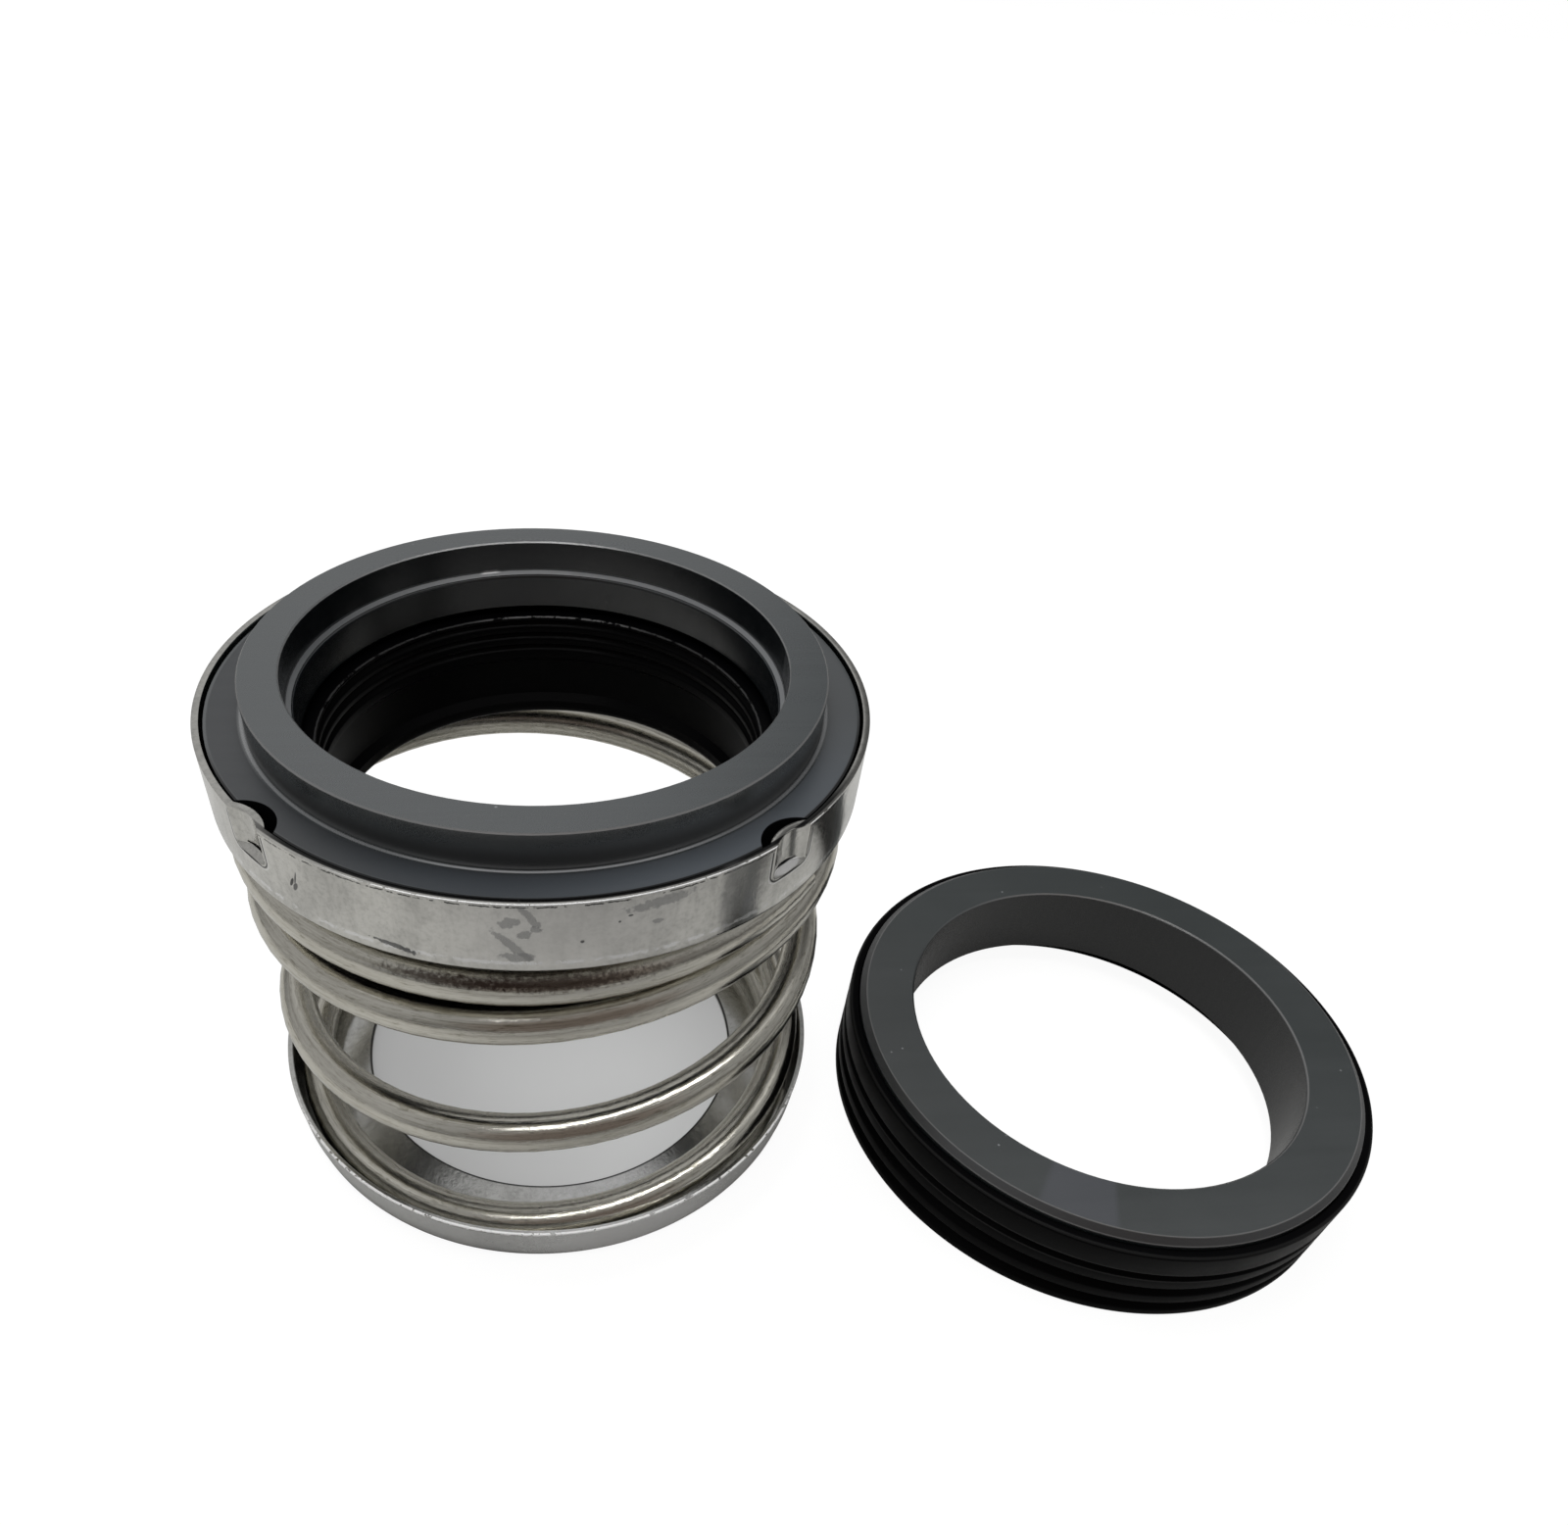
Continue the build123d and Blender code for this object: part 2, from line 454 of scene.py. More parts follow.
def arc(centre: tuple, radius: float, first: float, last: float, steps: int = 8) -> Section:
    """Points along an arc of a section.

    Args:
        centre: Radius and height of the arc's centre.
        radius: The arc's own radius.
        first: The bearing in degrees of its first point, from the radius outwards.
        last: The bearing of its last point.
        steps: How many steps it has.

    Returns:
        The points.
    """
    points = []
    for step in range(steps + 1):
        angle = math.radians(first + (last - first) * step / steps)
        points.append((centre[0] + radius * math.cos(angle), centre[1] + radius * math.sin(angle)))
    return points


# ---- Finishes ----


class Turned:
    """Where a point lies round an upright axis, for patterns that follow a turned piece."""

    def __init__(self, tree: ShaderTree, centre: tuple[float, float] = (0.0, 0.0)) -> None:
        """Measures the point.

        Args:
            tree: The tree to measure in.
            centre: Where the axis stands, in metres.
        """
        object_place = tree.add("ShaderNodeTexCoord", output="Object")
        moved = {"Vector": object_place, "Location": (-centre[0], -centre[1], 0.0)}
        here = tree.add("ShaderNodeMapping", {}, moved)
        parts = tree.node("ShaderNodeSeparateXYZ", {}, {0: here})
        east, north, up = (Wire(tree, output) for output in parts.outputs)
        self.tree = tree
        self.here = here
        self.radius = (east * east + north * north) ** 0.5 / MM
        self.bearing = north.bearing_with(east)
        self.height = up / MM

    def off(self, bearing: float) -> Wire:
        """How far the point lies from a bearing, in degrees from -180 to 180.

        Args:
            bearing: The bearing in degrees.

        Returns:
            The difference.
        """
        return (self.bearing - bearing).wrapped(180.0)


@dataclass(frozen=True, kw_only=True)
class Detail:
    """Something laid over a finish: how it changes the surface, and the bearings it is kept to.

    A window holds the bearing of its middle, and how far from there it starts to fade and is gone.
    """

    colour: tuple = (0.3, 0.3, 0.3)
    strength: float = 1.0
    rough: float = 0.1
    # How far metal turns matt white here, for a painted highlight
    matt_highlight: float = 0.0
    # How far the finish's shaded copy blends in: painted shade
    shade: float = 0.0
    window: tuple = ()

    def share(self, spot: Turned) -> Wire:
        """How much of the detail shows at a point, without its window.

        Args:
            spot: The point.

        Returns:
            A value from 0 to 1.
        """
        raise NotImplementedError

    def shown(self, spot: Turned) -> Wire:
        """How much of the detail shows at a point.

        Args:
            spot: The point.

        Returns:
            A value from 0 to 1.
        """
        share = self.share(spot) * self.strength
        if self.window:
            middle, fades, gone = self.window
            share = share * spot.off(middle).size().step(gone, fades)
        return share


@dataclass(frozen=True, kw_only=True)
class Trace(Detail):
    """A line round a turned piece along an edge or a fillet, in painted highlight or painted shade."""

    radius: float
    height: float
    reach: float
    ragged: float = 0.0
    waver: Pattern = Pattern(1500.0, rough=0.7)
    gaps: Pattern = Pattern(800.0, rough=0.7)
    gap_edge: float = 0.06

    def share(self, spot: Turned) -> Wire:
        """How near the line is, broken up where it is ragged.

        Args:
            spot: The point.

        Returns:
            A value from 0 to 1.
        """
        out = spot.radius - self.radius
        rise = spot.height - self.height
        if self.ragged:
            waver = spot.tree.noise(spot.here, self.waver) - 0.5
            rise = rise + waver * (self.ragged * self.reach * 3.0)
        near = ((out * out + rise * rise) ** 0.5).step(self.reach, self.reach * 0.5)
        if self.ragged:
            gaps = spot.tree.noise(spot.here, self.gaps)
            near = near * gaps.step(self.ragged * 0.5, self.ragged * 0.5 + self.gap_edge)
        return near


@dataclass(frozen=True, kw_only=True)
class Band(Detail):
    """A region of a turned piece, from one radius and height to another, with soft ends."""

    radii: tuple
    heights: tuple
    soft: float = 0.1

    def share(self, spot: Turned) -> Wire:
        """How far inside the region the point is.

        Args:
            spot: The point.

        Returns:
            A value from 0 to 1.
        """
        share = spot.radius.step(self.radii[0] - self.soft, self.radii[0] + self.soft)
        share = share * spot.radius.step(self.radii[1] + self.soft, self.radii[1] - self.soft)
        share = share * spot.height.step(self.heights[0] - self.soft, self.heights[0] + self.soft)
        return share * spot.height.step(self.heights[1] + self.soft, self.heights[1] - self.soft)


@dataclass(frozen=True, kw_only=True)
class Mark(Detail):
    """A smudge, stain or nick at one place on a wall, or a patch of painted light or shade there."""

    bearing: float
    height: float
    length: float
    width: float
    lean: float = 0.0
    ragged: float = 0.5
    grain: float = 800.0
    grain_rough: float = 0.65
    soft: float = 0.15
    edge: float = 0.95
    wall: float = 36.0

    def share(self, spot: Turned) -> Wire:
        """How far inside the mark's ragged outline the point is.

        Args:
            spot: The point.

        Returns:
            A value from 0 to 1.
        """
        across = spot.off(self.bearing) * (self.wall / DEGREE)
        rise = spot.height - self.height
        lean = math.radians(self.lean)
        along = (across * math.cos(lean) + rise * math.sin(lean)) * (1 / self.length)
        aside = (rise * math.cos(lean) - across * math.sin(lean)) * (1 / self.width)
        away = (along * along + aside * aside) ** 0.5
        outline = spot.tree.noise(spot.here, Pattern(self.grain, rough=self.grain_rough)) - 0.5
        away = away + outline * (2.5 * self.ragged)
        return away.step(self.edge + self.soft, self.edge - self.soft)


@dataclass(frozen=True, kw_only=True)
class Crease(Detail):
    """The line where the wall bends into each of the lugs: a box with round corners, open at the rim."""

    bearing: float
    spacing: float
    half_width: float
    foot: float
    corner: float = 1.2
    reach: float = 0.1
    wall: float = 36.0
    half_height: float = 5.0
    top: float = 59.4

    def share(self, spot: Turned) -> Wire:
        """How near the line of the nearest lug is.

        Args:
            spot: The point.

        Returns:
            A value from 0 to 1.
        """
        off = (spot.bearing - self.bearing).wrapped(self.spacing / 2)
        across = (off * (self.wall / DEGREE)).size() - (self.half_width - self.corner)
        rise = (spot.height - (self.foot + self.half_height)).size() - (self.half_height - self.corner)
        out, up = across.larger(0.0), rise.larger(0.0)
        away = (out * out + up * up) ** 0.5 + across.larger(rise).smaller(0.0) - self.corner
        below = spot.height.step(self.top, self.top - 0.1)
        return away.size().step(self.reach, self.reach * 0.3) * below


@dataclass
class Coat:
    """What a finish is made of at a point, while details are laid over it, with the painted shade and the
    matt white of painted highlights that they add.
    """

    colour: Wire
    rough: Wire
    matt_highlight: Wire | float = 0.0
    shade: Wire | float = 0.0

    def lay(self, spot: Turned, details: tuple) -> None:
        """Lays details over the coat, in order.

        Args:
            spot: The point.
            details: The details.
        """
        for detail in details:
            share = detail.shown(spot)
            self.colour = spot.tree.mix(share, self.colour, detail.colour)
            self.rough = self.rough + share * detail.rough
            if detail.matt_highlight:
                self.matt_highlight = share * detail.matt_highlight + self.matt_highlight
            if detail.shade:
                self.shade = share * detail.shade + self.shade


@dataclass(frozen=True)
class Carbide:
    """Lapped and ground silicon carbide, with a darker copy of itself that details blend in as painted
    shade.
    """

    name: str
    base: tuple = (0.009, 0.014, 0.0165)
    pale: tuple = (0.018, 0.024, 0.027)
    details: tuple = ()
    centre: tuple = (0.0, 0.0)
    grain: Pattern = Pattern(9000.0, rough=0.7)
    cloud: Pattern = Pattern(70.0)
    scratch: Pattern = Pattern(2600.0, 4.0, 0.75, (0.03, 1.0, 0.3), -24.0)
    broad: Pattern = Pattern(520.0, 2.0, 0.6, (0.03, 1.0, 0.3), -24.0)
    fleck: tuple = (0.22, 0.23, 0.24)
    fleck_scale: float = 330.0
    roughness: float = 0.28
    grinding: float = 0.9
    relief: float = 0.006
    index: float = 2.6
    # The shaded copy of the carbide, which a detail's shade blends in: painted shade
    dark: tuple = (0.004, 0.0045, 0.005)
    shaded_index: float = 1.35

    def material(self) -> bpy.types.Material:
        """Builds the finish.

        Returns:
            The material.
        """
        material, tree = new_material(self.name)
        spot = Turned(tree, self.centre)
        patterns = (self.grain, self.cloud, self.scratch, self.broad)
        grain, cloud, scratch, broad = (tree.noise(spot.here, pattern) for pattern in patterns)
        tone = grain.step(0.35, 0.7) * 0.25 + cloud * 0.3 + (scratch + broad - 1.0) * self.grinding
        colour = tree.mix(tone, self.base, self.pale)
        cells = tree.add("ShaderNodeTexVoronoi", {}, {"Vector": spot.here, "Scale": self.fleck_scale})
        colour = tree.mix(cells.step(0.06, 0.03) * cloud.step(0.50, 0.62) * 0.8, colour, self.fleck)
        rough = self.roughness + (cloud - 0.5) * 0.1 + (grain - 0.5) * 0.12
        rough = rough + (broad - 0.5) * (0.15 * self.grinding)
        coat = Coat(colour, rough)
        coat.lay(spot, self.details)
        relief = tree.bump(grain * 0.6 + scratch * 0.5, self.relief * MM)
        skin = {"Roughness": coat.rough, "Normal": relief}
        open_face = {"Base Color": coat.colour, "IOR": self.index, **skin}
        shaded_face = {"Base Color": (*self.dark, 1.0), "IOR": self.shaded_index, **skin}
        shaders = [tree.node("ShaderNodeBsdfPrincipled", {}, inputs) for inputs in (open_face, shaded_face)]
        tree.blend_shaders(coat.shade, *shaders)
        return material


@dataclass(frozen=True)
class Sheet:
    """Pressed and polished stainless sheet."""

    name: str
    colour: tuple = (0.66, 0.65, 0.615)
    painted_dark_reflection: tuple = (0.46, 0.455, 0.43)
    scuffed: tuple = (0.74, 0.73, 0.71)
    details: tuple = ()
    cloud: Pattern = Pattern(150.0, 4.0, 0.65)
    fine: Pattern = Pattern(1900.0, rough=0.7)
    streak: Pattern = Pattern(900.0, rough=0.6, stretch=(1.0, 1.0, 0.12))
    scuff: Pattern = Pattern(2200.0, rough=0.7, stretch=(0.15, 0.15, 1.0))
    roughness: float = 0.15
    relief: float = 0.05

    def material(self) -> bpy.types.Material:
        """Builds the finish.

        Returns:
            The material.
        """
        material, tree = new_material(self.name)
        spot = Turned(tree)
        patterns = (self.cloud, self.fine, self.streak, self.scuff)
        cloud, fine, streak, scuff = (tree.noise(spot.here, pattern) for pattern in patterns)
        tone = cloud.step(0.38, 0.66) * 0.6 + streak.step(0.45, 0.7) * 0.35 + fine.step(0.42, 0.7) * 0.5
        colour = tree.mix(tone, self.colour, self.painted_dark_reflection)
        colour = tree.mix(scuff.step(0.66, 0.74) * cloud.step(0.45, 0.6) * 0.5, colour, self.scuffed)
        rough = self.roughness + (cloud - 0.5) * 0.16 + (fine - 0.5) * 0.12
        coat = Coat(colour, rough)
        coat.lay(spot, self.details)
        relief = cloud * 0.5 + streak * 0.25 + fine * 0.2
        inputs = {
            "Base Color": coat.colour,
            "Metallic": 1.0 - coat.matt_highlight,
            "Roughness": coat.rough,
            "Normal": tree.bump(relief, self.relief * MM),
        }
        close_material(tree, inputs)
        return material


@dataclass(frozen=True)
class DrawnWire:
    """Drawn spring wire, with lines along it and the warm painted shade and reflection that its details lay.
    It reads the wire's own lay.
    """

    name: str
    colour: tuple = (0.66, 0.64, 0.575)
    dark: tuple = (0.33, 0.31, 0.255)
    details: tuple = ()
    lay: str = "lay"
    lines: Pattern = Pattern(3400.0, 4.0, 0.7, (1.0, 1.0, 0.02))
    bands: Pattern = Pattern(1100.0, 2.0, 0.5, (1.0, 1.0, 0.02))
    pits: Pattern = Pattern(1900.0, 3.0, 0.7, (1.0, 1.0, 0.25))
    grain: Pattern = Pattern(5200.0, 3.0, 0.75, (1.0, 1.0, 0.12))
    cloud: Pattern = Pattern(80.0)
    inside: tuple = (0.0002, -0.0012)
    roughness: float = 0.17
    relief: float = 0.04

    def material(self) -> bpy.types.Material:
        """Builds the finish.

        Returns:
            The material.
        """
        material, tree = new_material(self.name)
        spot = Turned(tree)
        lay = tree.add("ShaderNodeAttribute", {"attribute_name": self.lay}, output="Vector")
        patterns = (self.lines, self.bands, self.pits, self.grain, self.cloud)
        lines, bands, pits, grain, cloud = (tree.noise(lay, pattern) for pattern in patterns)
        tone = lines.step(0.45, 0.7) * 0.5 + bands.step(0.5, 0.7) * 0.35 + pits.step(0.56, 0.72) * 0.6
        tone = tone + grain.step(0.5, 0.7) * 0.45
        colour = tree.mix(tone, self.colour, self.dark)
        inner = tree.add("ShaderNodeSeparateXYZ", {}, {0: lay}).step(*self.inside)
        rough = self.roughness + (lines - 0.5) * 0.3 + (cloud - 0.5) * 0.15
        rough = rough + (grain - 0.5) * 0.3 + inner * 0.12
        coat = Coat(colour, rough)
        coat.lay(spot, self.details)
        relief = lines * 0.5 + bands * 0.35 + pits * 0.3 + grain * 0.2
        inputs = {
            "Base Color": coat.colour,
            "Metallic": 1.0,
            "Roughness": coat.rough,
            "Normal": tree.bump(relief, self.relief * MM),
        }
        close_material(tree, inputs)
        return material


@dataclass(frozen=True)
class Rubber:
    """Moulded black rubber."""

    name: str
    colour: tuple = (0.0005, 0.0005, 0.0007)
    worn: tuple = (0.0018, 0.0018, 0.0020)
    details: tuple = ()
    centre: tuple = (0.0, 0.0)
    skin: Pattern = Pattern(3000.0)
    cloud: Pattern = Pattern(140.0)
    flow: Pattern = Pattern(900.0, rough=0.6, stretch=(0.1, 0.1, 1.0))
    roughness: float = 0.36
    relief: float = 0.012
    index: float = 1.13

    def material(self) -> bpy.types.Material:
        """Builds the finish.

        Returns:
            The material.
        """
        material, tree = new_material(self.name)
        spot = Turned(tree, self.centre)
        patterns = (self.skin, self.cloud, self.flow)
        skin, cloud, flow = (tree.noise(spot.here, pattern) for pattern in patterns)
        colour = tree.mix(cloud * 0.5 + flow.step(0.55, 0.75) * 0.5, self.colour, self.worn)
        rough = self.roughness + (cloud - 0.5) * 0.25 + (skin - 0.5) * 0.1
        coat = Coat(colour, rough)
        coat.lay(spot, self.details)
        inputs = {
            "Base Color": coat.colour,
            "Roughness": coat.rough,
            "IOR": self.index,
            "Normal": tree.bump(skin * 0.4 + flow * 0.3, self.relief * MM),
        }
        close_material(tree, inputs)
        return material


# ---- Studio ----


@dataclass(frozen=True)
class Patch:
    """A soft lighter or darker patch of the room, as metal and polished faces mirror it."""

    bearing: float
    elevation: float
    inner: float
    outer: float
    level: float
    tint: tuple = (1.0, 1.0, 1.0)

    def axis(self) -> tuple[float, float, float]:
        """The direction of the patch's middle.

        Returns:
            A unit vector.
        """
        bearing, elevation = math.radians(self.bearing), math.radians(self.elevation)
        flat = math.cos(elevation)
        return (flat * math.cos(bearing), flat * math.sin(bearing), math.sin(elevation))


@dataclass(frozen=True)
class Lamp:
    """A rectangular lamp that looks at the object."""

    name: str
    bearing: float
    elevation: float
    distance: float
    size: tuple
    power: float
    mirrored: bool = True
    target: tuple = (0.02, 0.0, 0.03)

    def build(self) -> None:
        """Hangs the lamp and turns it to its target."""
        bearing, elevation = math.radians(self.bearing), math.radians(self.elevation)
        flat = self.distance * math.cos(elevation)
        height = self.distance * math.sin(elevation)
        place = Vector((flat * math.cos(bearing), flat * math.sin(bearing), height))
        light = bpy.data.lights.new(self.name, "AREA")
        light.shape = "RECTANGLE"
        light.size, light.size_y = self.size
        light.energy = self.power
        lamp = bpy.data.objects.new(self.name, light)
        lamp.location = place
        lamp.rotation_euler = (Vector(self.target) - place).to_track_quat("-Z", "Y").to_euler()
        lamp.visible_glossy = self.mirrored
        bpy.context.scene.collection.objects.link(lamp)


@dataclass
class Studio:
    """Camera, floor and light.

    The room and the floor glow white to the camera alone. Inside gives how far from the head's axis the
    floor seen through the holder's hole gets painted shade, the shade's place and reach do so for the
    painted shadow on the floor that the metal mirrors, and far gives where the floor's own glow grows.
    """

    patches: tuple = (
        Patch(100.0, 42.0, 8.0, 40.0, 0.50),
        Patch(50.0, 36.0, 12.0, 28.0, 0.12),
        Patch(-90.0, 26.0, 14.0, 42.0, 0.145, (1.16, 0.98, 0.89)),
        Patch(180.0, 20.0, 15.0, 45.0, 0.42),
        Patch(12.0, 54.0, 3.0, 13.0, 0.70),
        Patch(167.0, 58.0, 4.0, 16.0, 0.58),
    )
    sky: float = 0.32
    horizon: float = 0.16
    haze: tuple = (0.02, 0.3)
    white: tuple = (1.0, 1.0, 1.0)
    floor_size: float = 6.0
    floor: tuple = (0.58, 0.58, 0.57)
    floor_inside: tuple = (0.425, 0.43, 0.43)
    floor_mirrored: tuple = (0.50, 0.50, 0.49)
    floor_shaded: tuple = (0.30, 0.30, 0.30)
    inside: tuple = (0.034, 0.028)
    shade_place: tuple = (0.025, -0.172, 0.0)
    shade_reach: tuple = (0.15, 0.05)
    glow: float = 1.12
    far_glow: float = 0.2
    far: tuple = (0.16, 0.5)
    glow_seen: float = 0.84
    glow_lost_inside: float = 0.69
    lamps: tuple = (
        Lamp("key", -66.0, 77.0, 0.59, (0.49, 0.05), 0.70),
        Lamp("top", 120.0, 75.0, 0.8, (0.5, 0.5), 5.0, False),
    )
    camera_place: tuple = (0.0, -103.5 * MM, 122.6 * MM)
    yaw: float = 8.93
    pitch: float = 42.92
    roll: float = -4.20
    focal_px: float = 1094.0
    axis_px: tuple = (685.0, 926.0)
    image_px: tuple = (1600.0, 1556.0)
    sensor: float = 36.0
    nearest: float = 0.01

    def build(self) -> None:
        """Makes the camera, the floor, the lamps and the world."""
        bpy.context.scene.view_settings.view_transform = "Standard"
        self._camera()
        self._floor()
        for lamp in self.lamps:
            lamp.build()
        self._world()

    def _camera(self) -> None:
        """Stands the camera where its three angles say."""
        yaw, pitch, roll = (math.radians(angle) for angle in (self.yaw, self.pitch, self.roll))
        ahead = Vector((math.sin(yaw) * math.cos(pitch), math.cos(yaw) * math.cos(pitch), -math.sin(pitch)))
        level = Vector((math.cos(yaw), -math.sin(yaw), 0.0))
        below = ahead.cross(level)
        right = math.cos(roll) * level + math.sin(roll) * below
        up = math.sin(roll) * level - math.cos(roll) * below
        lens = bpy.data.cameras.new("camera")
        lens.sensor_width = self.sensor
        lens.lens = self.focal_px / self.image_px[0] * self.sensor
        lens.shift_x = (self.image_px[0] / 2 - self.axis_px[0]) / self.image_px[0]
        lens.shift_y = (self.axis_px[1] - self.image_px[1] / 2) / self.image_px[0]
        lens.clip_start = self.nearest
        camera = bpy.data.objects.new("camera", lens)
        turn = Matrix((right, up, -ahead)).transposed()
        camera.matrix_world = Matrix.Translation(self.camera_place) @ turn.to_4x4()
        bpy.context.scene.collection.objects.link(camera)
        bpy.context.scene.camera = camera

    def _floor(self) -> None:
        """Lays a pale floor that keeps its shadows.

        To the camera it is white, with painted shade where it shows through the holder's hole; the metal
        mirrors it with a painted shadow in front.
        """
        bpy.ops.mesh.primitive_plane_add(size=self.floor_size, location=(0.0, 0.0, 0.0))
        floor = bpy.context.object
        floor.name = "floor"
        material, tree = new_material("floor")
        rays = tree.node("ShaderNodeLightPath")
        camera = Wire(tree, rays.outputs["Is Camera Ray"])
        mirrored = Wire(tree, rays.outputs["Is Glossy Ray"])
        here = tree.add("ShaderNodeTexCoord", output="Object")
        away = tree.measure("LENGTH", here)
        # Painted shade on the floor in the holder's hole, and a painted shadow in front for the metal to
        # mirror
        inside = away.step(*self.inside)
        shaded = tree.measure("DISTANCE", here, self.shade_place).step(*self.shade_reach)
        colour = tree.mix(inside, self.floor, self.floor_inside)
        colour = tree.mix(mirrored, colour, self.floor_mirrored)
        colour = tree.mix(shaded * mirrored, colour, self.floor_shaded)
        matt = tree.node("ShaderNodeBsdfDiffuse", {}, {"Color": colour})
        strength = away.step(*self.far) * self.far_glow + self.glow
        white = tree.node("ShaderNodeEmission", {}, {"Color": (*self.white, 1.0), "Strength": strength})
        tree.blend_shaders(camera * (self.glow_seen - inside * self.glow_lost_inside), matt, white)
        floor.data.materials.append(material)

    def _world(self) -> None:
        """Makes the room: white to the camera, and with its patches for light and reflections."""
        world = bpy.data.worlds.new("room")
        bpy.context.scene.world = world
        world.use_nodes = True
        tree = ShaderTree(world.node_tree)
        way = tree.add("ShaderNodeTexCoord", output="Generated")
        rise = tree.add("ShaderNodeSeparateXYZ", {}, {0: way}, 2)
        level = rise.step(*self.haze) * (self.sky - self.horizon) + self.horizon
        colour = self.white
        for patch in self.patches:
            near = tree.measure("DOT_PRODUCT", way, patch.axis())
            share = near.step(math.cos(math.radians(patch.outer)), math.cos(math.radians(patch.inner)))
            level = level * (1.0 - share) + share * patch.level
            colour = tree.mix(share, colour, patch.tint)
        rays = tree.node("ShaderNodeLightPath")
        camera = Wire(tree, rays.outputs["Is Camera Ray"])
        strength = level * (1.0 - camera) + camera
        colour = tree.mix(camera, colour, self.white)
        room = tree.node("ShaderNodeBackground", {}, {"Color": colour, "Strength": strength})
        tree.node("ShaderNodeOutputWorld", {}, {"Surface": room.outputs[0]})


# ---- The object ----


@dataclass
class Ring:
    """A node of the frame that keeps its own shape and only takes a finish."""

    node: bpy.types.Object
    finish: Carbide

    def build(self) -> str:
        """Dresses the node.

        Returns:
            What was done.
        """
        self.node.data.materials.clear()
        self.node.data.materials.append(self.finish.material())
        return f"{self.node.name}: lapped carbide on the ring's own shape"


@dataclass
class Bellows:
    """The rubber bellows: a thick head in the case, a ribbed grip on the shaft and a tail in the spring."""

    finish: Rubber
    head_radius: float = 35.2
    ring_back: float = 55.4
    case_floor: float = 51.9
    floor_round: float = 0.95
    floor_edge: float = 0.3
    neck_radius: float = 30.35
    neck_base: float = 50.7
    neck_round: float = 1.0
    neck_slope: float = 40.0
    tail_radius: float = 27.5
    tail_slope: float = 2.4
    tail_blend: float = 1.5
    tail_end: float = 39.8
    tail_round: float = 1.2
    grip_radius: float = 24.7
    bead_top: float = 41.8
    hollow: float = 0.9
    grip_back: float = 48.6
    grip_front: float = 54.5
    undercut_outer: float = 28.0
    first_groove: float = 53.55
    groove_pitch: float = 1.7
    groove_count: int = 3
    groove_width: float = 0.62
    groove_depth: float = 0.5
    lip_round: float = 0.3
    steps: int = 240

    def section(self) -> Section:
        """Half the section.

        Returns:
            Radius and height of each point, in millimetres.
        """
        corner = self.head_radius - self.floor_round
        tail_centre = self.tail_radius - self.tail_round
        bead_centre = self.grip_radius + self.tail_round
        edge, neck, blend = self.floor_edge, self.neck_round, self.tail_blend
        tail_top = self.neck_base - self.tail_slope
        points = arc((corner, self.case_floor + self.floor_round), self.floor_round, 0, -90)
        points += arc((self.neck_radius + edge, self.case_floor - edge), edge, 90, 180, 4)
        points += arc((self.neck_radius - neck, self.neck_base), neck, 0, -self.neck_slope, 5)
        points += arc((self.tail_radius + blend, tail_top), blend, 180 - self.neck_slope, 180, 5)
        points += arc((tail_centre, self.tail_end + self.tail_round), self.tail_round, 0, -90)
        points += arc((bead_centre, self.tail_end + self.tail_round), self.tail_round, -90, -180)
        points += [(self.grip_radius, self.bead_top)]
        points += [(self.grip_radius + self.hollow, self.bead_top + self.hollow)]
        points += [(self.grip_radius + self.hollow, self.grip_back - self.hollow)]
        points += [(self.grip_radius, self.grip_back)]
        for groove in reversed(range(self.groove_count)):
            height = self.first_groove - groove * self.groove_pitch
            points += groove_points(self.grip_radius, height, self.groove_width, -self.groove_depth)
        lip = self.grip_radius + self.lip_round
        points += arc((lip, self.grip_front - self.lip_round), self.lip_round, 180, 90, 4)
        points += [(self.undercut_outer - (self.ring_back - self.grip_front), self.grip_front)]
        points += [(self.undercut_outer, self.ring_back)]
        rim = self.head_radius - self.lip_round
        points += arc((rim, self.ring_back - self.lip_round), self.lip_round, 90, 0, 4)
        return points

    def build(self) -> str:
        """Turns the bellows and puts it in place of its node.

        Returns:
            What was done.
        """
        bench = Bench("bellows_moulding")
        bench.draw(self.section())
        bench.turn([(360.0, self.steps)])
        bench.close()
        bench.smooth()
        settle(bench.piece, self.finish.material(), Body.HEAD, "bellows")
        return f"bellows: turned from a section of {len(self.section())} points"


@dataclass(frozen=True)
class Groove:
    """A groove round the boot."""

    height: float
    half_width: float
    depth: float


